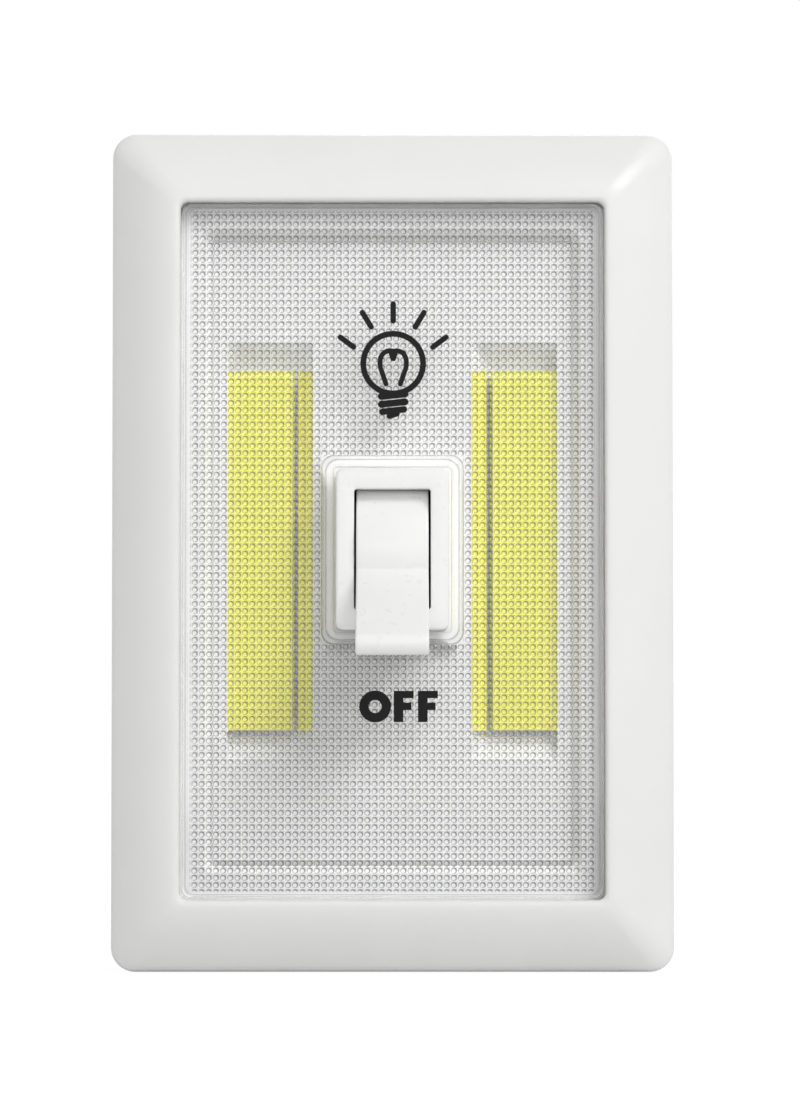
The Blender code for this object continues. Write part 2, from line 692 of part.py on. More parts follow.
def make_rear_housing(parts, tools, material):
    """Shallow back shell with the battery bay, board posts, magnet cups and hanging hole."""
    inner_w = OUTER_W - 2 * WALL
    inner_h = OUTER_H - 2 * WALL
    edge = 0.8
    housing = loft("rear_housing", [
        section(OUTER_W - 2 * edge, OUTER_H - 2 * edge, CORNER_R - edge / 2, 0.0),
        section(OUTER_W, OUTER_H, CORNER_R, edge),
        section(OUTER_W, OUTER_H, CORNER_R, SEAM_D),
        section(inner_w, inner_h, CORNER_R - WALL, SEAM_D),
        section(inner_w, inner_h, CORNER_R - WALL, BACK_WALL),
    ], parts)
    bay_x = BAY_W / 2 + BAY_WALL
    bay_z = (BAY_BOTTOM_Z - BAY_WALL, BAY_TOP_Z + BAY_WALL)
    add(housing, block("bay_walls", (-bay_x, bay_x), (BACK_WALL / 2, BAY_ROOF_D + BAY_ROOF_T), bay_z, tools))
    for side in (-1, 1):
        x = side * BOARD_POST_X
        for z in (BOARD_POST_UP_Z, BOARD_POST_LOW_Z):
            ends = ((x, BACK_WALL / 2, z), (x, BOARD_D - GAP, z))
            add(housing, rod(f"board_post_{side}_{z:.0f}", *ends, BOARD_POST_R, tools, 16))
        x = side * MAGNET_X
        cup_r = MAGNET_R + GAP + MAGNET_CUP_WALL
        cup_d = GAP / 2 + MAGNET_T + GAP
        ends = ((x, BACK_WALL / 2, MAGNET_Z), (x, cup_d + MAGNET_CUP_FLOOR, MAGNET_Z))
        add(housing, rod(f"magnet_cup_{side}", *ends, cup_r, tools, 28))
        ends = ((x, -1, MAGNET_Z), (x, cup_d, MAGNET_Z))
        cut(housing, rod(f"magnet_room_{side}", *ends, MAGNET_R + GAP, tools, 28))
    bay_room_z = (BAY_BOTTOM_Z, BAY_TOP_Z)
    cut(housing, block("bay_room", (-BAY_W / 2, BAY_W / 2), (-1, BAY_ROOF_D), bay_room_z, tools))
    pin_reach = BAY_W / 2 - GAP + DOOR_PIN_LENGTH + GAP
    ends = ((-pin_reach, DOOR_AXIS_D, DOOR_AXIS_Z), (pin_reach, DOOR_AXIS_D, DOOR_AXIS_Z))
    cut(housing, rod("door_pin_holes", *ends, DOOR_PIN_R + GAP / 2, tools, 16))
    for side, z in ((-1, cell_z(CELL_COUNT - 1)), (1, cell_z(0))):
        slot_x = (side * CONTACT_X - CONTACT_T / 2 - GAP, side * CONTACT_X + CONTACT_T / 2 + GAP)
        slot_z = (z - TAB_WIDTH / 2 - GAP, z + TAB_WIDTH / 2 + GAP)
        slot_d = (BAY_ROOF_D - 1, BAY_ROOF_D + BAY_ROOF_T + 1)
        cut(housing, block(f"tab_slot_{side}", slot_x, slot_d, slot_z, tools))
    for side_x in (-1, 1):
        ends = ((side_x * BOARD_POST_X, BACK_WALL, BOARD_POST_UP_Z), (side_x * BOARD_POST_X, BOARD_D, BOARD_POST_UP_Z))
        cut(housing, rod(f"post_hole_{side_x}", *ends, SCREW_R + GAP, tools, 12))
        for side_z in (-1, 1):
            x = side_x * SCREW_X
            z = side_z * SCREW_Z
            name = f"screw_recess_{side_x}_{side_z}"
            cut(housing, rod(name, (x, -1, z), (x, RECESS_DEPTH, z), SCREW_HEAD_R + GAP, tools, 16))
            cut(housing, rod(name + "_hole", (x, 0.5, z), (x, BACK_WALL + 1, z), SCREW_R + GAP, tools, 12))
    cut(housing, keyhole(tools))
    finish(housing, material)
    return housing


def keyhole(tools):
    """The hanging hole: a round entry with a narrower slot that rises from it."""
    slot_r = KEYHOLE_SLOT_W / 2
    join = math.degrees(math.asin(slot_r / KEYHOLE_R))
    points = arc(KEYHOLE_R, 90 + join, 450 - join, 20)
    points += arc(slot_r, 0, 180, 8, (0.0, KEYHOLE_SLOT_RISE))
    world = Matrix.Translation(place(0, BACK_WALL / 2, KEYHOLE_Z)) @ Matrix.Rotation(math.radians(90), 4, "X")
    return flat_outline("keyhole", points, BACK_WALL + 2, world, tools)


def cell_z(row):
    """Height of a cell's axis; row 0 is the top one."""
    return BAY_CENTRE_Z + (1 - row) * CELL_PITCH


def cell_side(row):
    """The side that a cell's positive end faces: the rows alternate."""
    return 1 if row % 2 == 0 else -1


def make_cells(parts, material):
    """Three AAA cells lying across the light, alternate ways round."""
    edge = 0.5
    total = CELL_LENGTH + CELL_NUB_LENGTH
    profile = [
        (0.0, total), (CELL_NUB_R, total), (CELL_NUB_R, CELL_LENGTH), (CELL_R - edge, CELL_LENGTH),
        (CELL_R, CELL_LENGTH - edge), (CELL_R, edge), (CELL_R - edge, 0.0), (0.0, 0.0),
    ]
    for row, label in enumerate(("upper", "middle", "lower")):
        side = cell_side(row)
        flat_end = side * (BAY_W / 2 - GAP - CONTACT_T - GAP - total)
        start = (flat_end, CELL_D, cell_z(row))
        cell = turned(f"battery_cell_{label}", profile, start, parts, flip=side < 0)
        finish(cell, material)


def make_contacts(parts, tools, plate_material, spring_material):
    """End plates, bridging plates and the springs at the cells' flat ends."""
    half = CONTACT_WIDTH / 2
    plates = (
        ("contact_end_right", 1, (0, 0)),
        ("contact_bridge_right", 1, (1, 2)),
        ("contact_bridge_left", -1, (0, 1)),
        ("contact_end_left", -1, (2, 2)),
    )
    for name, side, (first, last) in plates:
        x = (side * CONTACT_X - CONTACT_T / 2, side * CONTACT_X + CONTACT_T / 2)
        z = (cell_z(last) - half, cell_z(first) + half)
        plate = block(name, x, (CELL_D - half, CELL_D + half), z, parts)
        if first == last:
            tab_z = (cell_z(first) - TAB_WIDTH / 2, cell_z(first) + TAB_WIDTH / 2)
            add(plate, block(name + "_tab", x, (CELL_D, TAB_TOP_D), tab_z, tools))
        finish(plate, plate_material, smooth=False)
    per_turn = 10
    count = SPRING_TURNS * per_turn
    run = SPRING_ROOM - 2 * GAP - 2 * SPRING_WIRE_R
    for row, label in enumerate(("upper", "middle", "lower")):
        side = -cell_side(row)
        plate_face = CONTACT_X - CONTACT_T / 2 - GAP - SPRING_WIRE_R
        points = []
        for step in range(count + 1):
            share = step / count
            angle = 2 * math.pi * step / per_turn
            radius = SPRING_BIG_R + (SPRING_SMALL_R - SPRING_BIG_R) * share
            x = side * (plate_face - run * share)
            points.append((x, CELL_D + radius * math.cos(angle), cell_z(row) + radius * math.sin(angle)))
        spring = wire(f"battery_spring_{label}", points, SPRING_WIRE_R, parts)
        finish(spring, spring_material)


def make_battery_door(parts, tools, material):
    """Flush door with a hinge barrel and two pins along its top edge, and grip ribs at its foot."""
    half_w = BAY_W / 2 - GAP
    z = (BAY_BOTTOM_Z + GAP, DOOR_AXIS_Z)
    door = block("battery_door", (-half_w, half_w), (0.0, DOOR_T), z, parts)
    ends = ((-half_w, DOOR_AXIS_D, DOOR_AXIS_Z), (half_w, DOOR_AXIS_D, DOOR_AXIS_Z))
    add(door, rod("door_barrel", *ends, DOOR_BARREL_R, tools, 16))
    reach = half_w + DOOR_PIN_LENGTH
    ends = ((-reach, DOOR_AXIS_D, DOOR_AXIS_Z), (reach, DOOR_AXIS_D, DOOR_AXIS_Z))
    add(door, rod("door_pins", *ends, DOOR_PIN_R, tools, 12))
    for rib in range(DOOR_GRIP_RIBS):
        rib_z = BAY_BOTTOM_Z + 3.0 + 1.6 * rib
        groove = (rib_z - 0.4, rib_z + 0.4)
        cut(door, block(f"door_groove_{rib}", (-DOOR_GRIP_W / 2, DOOR_GRIP_W / 2), (-1, 0.5), groove, tools))
    finish(door, material, smooth=False)
    return door


def make_screw(name, x, z, head_d, length, towards_front, parts, tools, material):
    """A pan-head screw along the depth with a cross recess; its head's outer face is at head_d."""
    way = 1 if towards_front else -1
    under = head_d + way * SCREW_HEAD_T
    screw = rod(name, (x, head_d, z), (x, under, z), SCREW_HEAD_R, parts, 16)
    add(screw, rod(name + "_shank", (x, under - way * 0.3, z), (x, head_d + way * length, z), SCREW_R, tools, 12))
    slot_d = sorted((head_d - way, head_d + way * 0.45))
    for tag, wide, tall in (("a", 1.2, 0.3), ("b", 0.3, 1.2)):
        cut(screw, block(f"{name}_{tag}", (x - wide, x + wide), slot_d, (z - tall, z + tall), tools))
    finish(screw, material)


def make_screws(parts, tools, material):
    """Four screws through the back into the frame, and two that hold the board."""
    labels = {(-1, 1): "upper_left", (1, 1): "upper_right", (-1, -1): "lower_left", (1, -1): "lower_right"}
    head_d = RECESS_DEPTH - GAP - SCREW_HEAD_T
    for (side_x, side_z), label in labels.items():
        make_screw(f"housing_screw_{label}", side_x * SCREW_X, side_z * SCREW_Z, head_d,
                   HOUSING_SCREW_LENGTH, True, parts, tools, material)
    for side, label in ((-1, "left"), (1, "right")):
        make_screw(f"board_screw_{label}", side * BOARD_POST_X, BOARD_POST_UP_Z,
                   BOARD_FRONT_D + GAP + SCREW_HEAD_T, BOARD_SCREW_LENGTH, False, parts, tools, material)


def make_magnets(parts, material):
    """Two disc magnets, flush in the back."""
    for side, label in ((-1, "left"), (1, "right")):
        ends = ((side * MAGNET_X, GAP / 2, MAGNET_Z), (side * MAGNET_X, GAP / 2 + MAGNET_T, MAGNET_Z))
        finish(rod(f"magnet_{label}", *ends, MAGNET_R, parts, 28), material)


def make_leads(parts, red, black):
    """Wires from the bay's end plates and from the light strips to the circuit board."""
    board_d = BOARD_FRONT_D + GAP + WIRE_R
    tab_d = TAB_TOP_D + GAP + WIRE_R
    for side, row, label, material in ((1, 0, "positive", red), (-1, CELL_COUNT - 1, "negative", black)):
        x = side * CONTACT_X
        corners = [
            (x, tab_d, cell_z(row) - 1),
            (x, tab_d, BAY_TOP_Z - 4),
            (x, tab_d - 0.5, BAY_TOP_Z + 1),
            (x - side * 2, 11.0, BAY_TOP_Z + BAY_WALL + 3),
            (x - side * 5, board_d + 0.2, BAY_TOP_Z + BAY_WALL + 5),
            (side * (BOARD_W / 2 - 3), board_d, BAY_TOP_Z + BAY_WALL + 5),
        ]
        finish(wire(f"battery_lead_{label}", smooth_route(corners), WIRE_R, parts), material)
    for side, label in ((-1, "left"), (1, "right")):
        x = side * (POCKET_X + POCKET_INNER_SLOPE / 2)
        corners = [
            (x, COB_BOARD_D - GAP, LEAD_HOLE_UP),
            (x, POCKET_FLOOR_D - 3, LEAD_HOLE_UP),
            (x - side * 2, 10.0, LEAD_HOLE_UP - 2),
            (x - side * 6, board_d + 0.2, BOARD_TOP_Z - 3),
            (x - side * 8, board_d, BOARD_TOP_Z - 5),
        ]
        finish(wire(f"cob_lead_{label}", smooth_route(corners), WIRE_R, parts), red)


def main():
    clear_scene()
    parts = make_collection(COLLECTION)
    tools = make_collection("cutters")
    white = make_material("white_abs", (0.78, 0.78, 0.77), 0.35)
    clear = make_material("clear_polystyrene", (0.9, 0.9, 0.9), 0.1, transmission=0.9)
    tray_white = make_material("white_reflector", (0.85, 0.85, 0.84), 0.45)
    board_white = make_material("board_white", (0.8, 0.8, 0.8), 0.5)
    yellow = make_material("phosphor_yellow", (0.82, 0.78, 0.08), 0.5)
    steel = make_material("nickelled_steel", (0.62, 0.61, 0.6), 0.3, metallic=1.0)
    black = make_material("black_plastic", (0.02, 0.02, 0.02), 0.5)
    red = make_material("red_insulation", (0.5, 0.02, 0.02), 0.5)
    green = make_material("circuit_green", (0.02, 0.18, 0.06), 0.4)
    jacket = make_material("cell_jacket", (0.05, 0.12, 0.3), 0.35)
    make_front_frame(parts, tools, white)
    make_lens(parts, clear)
    make_reflector_tray(parts, tools, tray_white)
    make_light_strips(parts, board_white, yellow)
    make_switch_surround(parts, tools, white)
    make_toggle_lever(parts, tools, white)
    make_slide_switch(parts, tools, steel, black, white)
    make_circuit_board(parts, tools, green, black)
    make_rear_housing(parts, tools, white)
    make_battery_door(parts, tools, white)
    make_cells(parts, jacket)
    make_contacts(parts, tools, steel, steel)
    make_screws(parts, tools, steel)
    make_magnets(parts, steel)
    make_leads(parts, red, black)


main()
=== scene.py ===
"""Finishes for a battery light in the shape of a toggle wall switch, laid out as a Blender add-on.

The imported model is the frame: X runs to the right as seen from the front, Z up, and the front
faces -Y. The back face lies in the plane y = 0, so a depth d is a distance from it, y = -d.
"""
import json
import math

import bpy
import numpy as np
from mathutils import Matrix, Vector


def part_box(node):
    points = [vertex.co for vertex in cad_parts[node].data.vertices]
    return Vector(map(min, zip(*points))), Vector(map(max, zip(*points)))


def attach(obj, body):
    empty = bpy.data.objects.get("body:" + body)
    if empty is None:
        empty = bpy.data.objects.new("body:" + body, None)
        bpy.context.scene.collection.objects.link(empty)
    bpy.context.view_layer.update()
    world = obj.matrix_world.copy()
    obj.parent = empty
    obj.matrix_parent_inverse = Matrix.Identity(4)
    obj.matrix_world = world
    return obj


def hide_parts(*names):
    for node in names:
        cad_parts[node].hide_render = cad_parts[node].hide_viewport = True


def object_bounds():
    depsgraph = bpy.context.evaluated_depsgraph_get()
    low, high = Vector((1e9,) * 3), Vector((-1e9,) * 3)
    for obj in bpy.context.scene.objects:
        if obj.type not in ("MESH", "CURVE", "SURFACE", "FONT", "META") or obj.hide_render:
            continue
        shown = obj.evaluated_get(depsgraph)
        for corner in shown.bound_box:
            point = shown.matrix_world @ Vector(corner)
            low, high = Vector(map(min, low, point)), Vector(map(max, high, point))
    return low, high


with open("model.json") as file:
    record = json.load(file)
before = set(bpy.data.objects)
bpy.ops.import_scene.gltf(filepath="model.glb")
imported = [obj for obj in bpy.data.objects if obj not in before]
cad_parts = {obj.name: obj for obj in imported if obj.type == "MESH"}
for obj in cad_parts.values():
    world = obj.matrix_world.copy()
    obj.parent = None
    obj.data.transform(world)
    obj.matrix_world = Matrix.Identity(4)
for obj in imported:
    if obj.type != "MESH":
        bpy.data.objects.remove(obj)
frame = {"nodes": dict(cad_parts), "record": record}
CAD_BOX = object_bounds()

bl_info = {
    "name": "Toggle switch light finishes",
    "version": (1, 0, 0),
    "blender": (4, 5, 0),
    "location": "View3D > Sidebar > Switch light",
    "description": "Builds the visible shells, lens, print and studio of a battery switch light",
    "category": "Object",
}

MM = 0.001


def box_mm(node):
    """A node's lowest and highest corner in millimetres, as (x, d, z) with d from the back."""
    low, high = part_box(node)
    first = np.array((low.x, -high.y, low.z)) / MM
    last = np.array((high.x, -low.y, high.z)) / MM
    return first, last


FRAME_LOW, FRAME_HIGH = box_mm("front_frame")
LENS_LOW, LENS_HIGH = box_mm("lens")
SURROUND_LOW, SURROUND_HIGH = box_mm("switch_surround")
TRAY_HIGH = box_mm("reflector_tray")[1]
# Painted shade: the tray material draws a dark line along this rectangle, the foot of the step.
STEP_FOOT = (24.6, 42.6)   # half size of the rectangle where the tray's step meets its floor
POCKET_WALL = 22.4         # where a pocket's outer wall stands, from the middle
ROUND_SLOTS = ("cell_jacket", "nickelled_steel", "screw_steel", "red_wire", "black_wire")
LEVER_JOINT = next(j for j in frame["record"]["behaviour"]["joints"] if j["name"] == "toggle")
PIVOT_D = -LEVER_JOINT["pos_m"][1] / MM
LEVER_SWING = LEVER_JOINT["range_deg"][1]


# ---------------------------------------------------------------- sizes and colours

class SwitchLightSizes(bpy.types.PropertyGroup):
    """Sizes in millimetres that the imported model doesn't name."""
    window_width: bpy.props.FloatProperty(
        name="Window width", description="Opening of the front frame, side to side", default=57.8)
    window_height: bpy.props.FloatProperty(
        name="Window height", description="Opening of the front frame, top to bottom", default=95.1)
    corner_radius: bpy.props.FloatProperty(
        name="Corner radius", description="Outer corners of the frame", default=3.3)
    window_radius: bpy.props.FloatProperty(
        name="Window radius", description="Corners of the window", default=1.1)
    bezel_start: bpy.props.FloatProperty(
        name="Bezel start", description="Depth at which the side wall turns into the bezel", default=19.0)
    lens_face: bpy.props.FloatProperty(
        name="Lens face", description="Depth of the lens's front face", default=24.0)
    lens_thickness: bpy.props.FloatProperty(
        name="Lens thickness", description="Clear plate without its lenslets", default=1.5)
    lenslet_pitch: bpy.props.FloatProperty(
        name="Lenslet pitch", description="Distance between neighbouring lenslets", default=0.98)
    lenslet_height: bpy.props.FloatProperty(
        name="Lenslet height", description="How far a lenslet stands off the back of the plate",
        default=0.17)
    print_thickness: bpy.props.FloatProperty(
        name="Print thickness", description="Ink film on the lens", default=0.03)


class SwitchLightColours(bpy.types.PropertyGroup):
    """Colours, as sRGB values of a surface in plain light."""
    shell: bpy.props.StringProperty(name="Shell", description="Moulded ABS", default="#EFEFEE")
    reflector: bpy.props.StringProperty(name="Reflector", description="Tray behind the lens",
                                        default="#F6F6F6")
    phosphor: bpy.props.StringProperty(name="Phosphor", description="Unlit light strips",
                                       default="#FFFA62")
    switch: bpy.props.StringProperty(name="Switch", description="Moulded ABS of lever and surround",
                                     default="#F8F8F7")
    ink: bpy.props.StringProperty(name="Ink", description="Print on the lens", default="#0C0C0C")


def sizes():
    return bpy.context.scene.switch_light_sizes


def colours():
    return bpy.context.scene.switch_light_colours


# ---------------------------------------------------------------- meshes from arrays

def put_mesh(name, points, faces, material, body, stands_for=(), smooth_angle=35.0):
    """A new piece from an array of (x, d, z) in millimetres and lists of corner numbers."""
    points = np.asarray(points, dtype=float)
    world = np.column_stack((points[:, 0], -points[:, 1], points[:, 2])) * MM
    mesh = bpy.data.meshes.new(name)
    mesh.from_pydata(world.tolist(), [], [list(map(int, face)) for face in faces])
    mesh.validate()
    mesh.shade_smooth()
    mesh.set_sharp_from_angle(angle=math.radians(smooth_angle))
    mesh.materials.append(material)
    piece = bpy.data.objects.new(name, mesh)
    bpy.context.scene.collection.objects.link(piece)
    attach(piece, body)
    if stands_for:
        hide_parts(*stands_for)
    return piece


def loop_faces(loops, count, start=0, closed=False):
    """Quads between loops of count points each, numbered one loop after another."""
    low = np.arange(loops if closed else loops - 1)[:, None]
    high = (low + 1) % loops
    i = np.arange(count)[None, :]
    j = (i + 1) % count
    quads = np.stack((low * count + i, low * count + j, high * count + j, high * count + i), axis=-1)
    return (quads.reshape(-1, 4) + start).tolist()


def rounded_loop(width, height, radius, d, steps=10, centre=(0.0, 0.0)):
    """A rounded rectangle at a depth: four quarter circles, anticlockwise from the front."""
    angle = np.radians(np.linspace(0, 90, steps + 1))[None, :] + np.radians((0, 90, 180, 270))[:, None]
    side_x = np.array((1, -1, -1, 1))[:, None]
    side_z = np.array((1, 1, -1, -1))[:, None]
    x = centre[0] + side_x * (width / 2 - radius) + radius * np.cos(angle)
    z = centre[1] + side_z * (height / 2 - radius) + radius * np.sin(angle)
    return np.column_stack((x.ravel(), np.full(x.size, d), z.ravel()))


def ring_piece(name, sections, material, body, stands_for, steps=10):
    """A closed ring through rounded rectangles (width, height, radius, depth)."""
    loops = [rounded_loop(*part, steps=steps) for part in sections]
    faces = loop_faces(len(loops), len(loops[0]), closed=True)
    return put_mesh(name, np.vstack(loops), faces, material, body, stands_for)


# ---------------------------------------------------------------- materials

def linear(code):
    """An sRGB hex colour as linear red, green and blue."""
    values = np.array([int(code[i:i + 2], 16) for i in (1, 3, 5)]) / 255
    return tuple(np.where(values <= 0.04045, values / 12.92, ((values + 0.055) / 1.055) ** 2.4))


def new_material(name):
    """An empty node material with its output and a Principled shader."""
    material = bpy.data.materials.new(name)
    material.use_nodes = True
    tree = material.node_tree
    tree.nodes.clear()
    output = tree.nodes.new("ShaderNodeOutputMaterial")
    shader = tree.nodes.new("ShaderNodeBsdfPrincipled")
    tree.links.new(shader.outputs["BSDF"], output.inputs["Surface"])
    return material, tree, shader, output


def add_node(tree, kind, settings=None, **inputs):
    """Adds a node, sets its properties, and sets or links its inputs (underscores are spaces)."""
    made = tree.nodes.new(kind)
    for key, value in (settings or {}).items():
        setattr(made, key, value)
    for key, value in inputs.items():
        numbered = key[0] == "i" and key[1:].isdigit()
        socket = made.inputs[int(key[1:]) if numbered else key.replace("_", " ")]
        if isinstance(value, bpy.types.NodeSocket):
            tree.links.new(value, socket)
        else:
            socket.default_value = value
    return made


def grain(tree, size_mm, detail=2.0):
    """Noise on Object coordinates whose features are about size_mm across."""
    where = add_node(tree, "ShaderNodeTexCoord")
    return add_node(tree, "ShaderNodeTexNoise", Vector=where.outputs["Object"],
                    Scale=1.0 / (size_mm * MM), Detail=detail)


def spread(tree, value, low, high):
    """Maps noise, which keeps to about 0.3 to 0.7, onto a range."""
    made = add_node(tree, "ShaderNodeMapRange", Value=value, From_Min=0.3, From_Max=0.7, To_Min=low,
                    To_Max=high)
    return made.outputs["Result"]


def tint(tree, shader, noise, first, second):
    """Base colour that drifts between two colours with the noise."""
    ramp = add_node(tree, "ShaderNodeValToRGB", Fac=noise.outputs["Fac"])
    ramp.color_ramp.elements[0].position = 0.3
    ramp.color_ramp.elements[1].position = 0.7
    ramp.color_ramp.elements[0].color = (*first, 1.0)
    ramp.color_ramp.elements[1].color = (*second, 1.0)
    tree.links.new(ramp.outputs["Color"], shader.inputs["Base Color"])


def scaled(colour, factor):
    return tuple(min(channel * factor, 1.0) for channel in colour)


def surfaced(name, colour, drift, patch_mm, rough, grain_mm, relief_mm, metallic=0.0, ior=1.5):
    """A solid finish: colour that drifts in patches, roughness and relief from a finer grain."""
    material, tree, shader, _ = new_material(name)
    patches = grain(tree, patch_mm)
    tint(tree, shader, patches, scaled(colour, 1 - drift), scaled(colour, 1 + drift))
    fine = grain(tree, grain_mm, 3.0)
    tree.links.new(spread(tree, fine.outputs["Fac"], *rough), shader.inputs["Roughness"])
    bump = add_node(tree, "ShaderNodeBump", Height=fine.outputs["Fac"], Distance=relief_mm * MM,
                    Strength=0.6)
    tree.links.new(bump.outputs["Normal"], shader.inputs["Normal"])
    shader.inputs["Metallic"].default_value = metallic
    if not metallic:
        shader.inputs["IOR"].default_value = ior
    return material


def abs_switch():
    """The same ABS in a whiter, glossier moulding, for the lever and its surround."""
    return surfaced("White ABS, gloss moulded", linear(colours().switch), 0.006, 14.0, (0.27, 0.31), 1.6,
                    0.003, ior=1.53)


def abs_shell():
    """White ABS from a fine-ground mould: even satin with a faint orange-peel, drawn at 1.2 mm."""
    return surfaced("White ABS, satin moulded", linear(colours().shell), 0.012, 14.0, (0.30, 0.40), 1.2,
                    0.012, ior=1.53)


def reflector_white():
    """White polystyrene tray: glossier than the shell, with painted shade: a darker line along the crease
    at the foot of its step, where shade falls in the crease.
    """
    material = surfaced("White polystyrene, moulded", linear(colours().reflector), 0.02, 6.0,
                        (0.28, 0.42), 0.8, 0.01,
                        ior=1.59)
    tree = material.node_tree
    shader = next(entry for entry in tree.nodes if entry.type == "BSDF_PRINCIPLED")
    plain = shader.inputs["Base Color"].links[0].from_socket
    where = add_node(tree, "ShaderNodeTexCoord")
    mirrored = add_node(tree, "ShaderNodeVectorMath", {"operation": "ABSOLUTE"},
                        i0=where.outputs["Object"])
    beyond = add_node(tree, "ShaderNodeVectorMath", {"operation": "SUBTRACT"},
                      i0=mirrored.outputs["Vector"],
                      i1=(STEP_FOOT[0] * MM, 0.0, STEP_FOOT[1] * MM))
    axes = add_node(tree, "ShaderNodeSeparateXYZ", Vector=beyond.outputs["Vector"])
    farther = add_node(tree, "ShaderNodeMath", {"operation": "MAXIMUM"}, i0=axes.outputs["X"],
                       i1=axes.outputs["Z"])
    off = add_node(tree, "ShaderNodeMath", {"operation": "ABSOLUTE"}, i0=farther.outputs["Value"])
    # Painted shade: the base colour turns up to 60% towards the grey below on the foot of the step and
    # fades out within 0.4 mm.
    crease = add_node(tree, "ShaderNodeMapRange", Value=off.outputs["Value"], From_Min=0.05 * MM,
                      From_Max=0.4 * MM,
                      To_Min=0.6, To_Max=0.0)
    dark = add_node(tree, "ShaderNodeMix", {"data_type": "RGBA"}, Factor=crease.outputs["Result"])
    tree.links.new(plain, dark.inputs[6])
    # Colour of the painted shade in the crease.
    dark.inputs[7].default_value = (0.12, 0.12, 0.12, 1.0)
    tree.links.new(dark.outputs[2], shader.inputs["Base Color"])
    return material


def phosphor_silicone():
    """Silicone filled with yellow phosphor: a soft even yellow with grains of about 0.5 mm."""
    return surfaced("Phosphor in silicone", linear(colours().phosphor), 0.06, 0.5, (0.42, 0.6), 0.3, 0.02,
                    ior=1.41)


def printed_ink():
    """Screen-printed black on a clear plate: dense, slightly mottled and satin."""
    return surfaced("Black screen ink", linear(colours().ink), 0.25, 0.4, (0.45, 0.6), 0.25, 0.008,
                    ior=1.3)


def set_curve(made, points):
    """Gives a Float Curve node its points."""
    curve = made.mapping.curves[0]
    for point, (x, y) in zip(curve.points, (points[0], points[-1])):
        point.location = (x, y)
    for x, y in points[1:-1]:
        curve.points.new(x, y)
    made.mapping.update()


def clear_styrene():
    """Clear moulded polystyrene: refracts at 1.59, with a polished face and lenslets behind.

    Rays from the lamps pass straight through, so that the tray behind is lit as it is in a room. The base
    colour holds painted shade and a painted highlight: a dark ring round each lenslet, darker on its upper
    right side and lighter on its lower left as light from the upper right falls on it, and dark lines
    along the lens's rim and collar.
    """
    material, tree, shader, output = new_material("Clear polystyrene, polished")
    pitch = sizes().lenslet_pitch * MM
    where = add_node(tree, "ShaderNodeTexCoord")
    cells = add_node(tree, "ShaderNodeVectorMath", {"operation": "DIVIDE"}, i0=where.outputs["Object"],
                     i1=(pitch,) * 3)
    inside = add_node(tree, "ShaderNodeVectorMath", {"operation": "FRACTION"}, i0=cells.outputs["Vector"])
    flat = add_node(tree, "ShaderNodeVectorMath", {"operation": "MULTIPLY_ADD"},
                    i0=inside.outputs["Vector"],
                    i1=(1.0, 0.0, 1.0), i2=(-0.5, 0.0, -0.5))
    away = add_node(tree, "ShaderNodeVectorMath", {"operation": "LENGTH"}, i0=flat.outputs["Vector"])
    # Painted highlight and shade: each lenslet lighter on its lower left side and darker on its upper
    # right, as light from the upper right falls on it.
    lit = add_node(tree, "ShaderNodeVectorMath", {"operation": "DOT_PRODUCT"}, i0=flat.outputs["Vector"],
                   i1=(0.48, 0.0, 0.58))
    # Painted shade: a dark ring round the sloping sides of each lenslet.
    flank_shade = add_node(tree, "ShaderNodeFloatCurve", Value=away.outputs["Value"])
    set_curve(flank_shade, ((0.0, 0.0), (0.2, 0.02), (0.34, 0.77), (0.42, 0.6), (0.5, 0.04), (0.8, 0.0)))
    shade = add_node(tree, "ShaderNodeMath", {"operation": "ADD"}, i0=flank_shade.outputs["Value"],
                     i1=lit.outputs["Value"])
    field = add_node(tree, "ShaderNodeAttribute", {"attribute_name": "lenslets"})
    depth = add_node(tree, "ShaderNodeMath", {"operation": "MULTIPLY", "use_clamp": True},
                     i0=shade.outputs["Value"], i1=field.outputs["Fac"])
    # Painted shade: dark lines along the lens's rim and collar, read from the edges attribute.
    edge = add_node(tree, "ShaderNodeAttribute", {"attribute_name": "edges"})
    dark = add_node(tree, "ShaderNodeMath", {"operation": "MULTIPLY_ADD", "use_clamp": True},
                    i0=edge.outputs["Fac"], i1=0.8, i2=depth.outputs["Value"])
    # The painted shade turns the clear colour towards near black.
    tone = add_node(tree, "ShaderNodeMix", {"data_type": "RGBA"}, Factor=dark.outputs["Value"])
    tone.inputs[6].default_value = (*linear("#FFFFFF"), 1.0)
    tone.inputs[7].default_value = (0.04, 0.04, 0.04, 1.0)
    tree.links.new(tone.outputs[2], shader.inputs["Base Color"])
    shader.inputs["Transmission Weight"].default_value = 1.0
    shader.inputs["IOR"].default_value = 1.49
    haze = grain(tree, 3.0)
    tree.links.new(spread(tree, haze.outputs["Fac"], 0.02, 0.06), shader.inputs["Roughness"])
    path = add_node(tree, "ShaderNodeLightPath")
    open_way = add_node(tree, "ShaderNodeBsdfTransparent", Color=(1.0, 1.0, 1.0, 1.0))
    mix = add_node(tree, "ShaderNodeMixShader", Fac=path.outputs["Is Shadow Ray"],
                   i1=shader.outputs["BSDF"], i2=open_way.outputs["BSDF"])
    tree.links.new(mix.outputs["Shader"], output.inputs["Surface"])
    return material


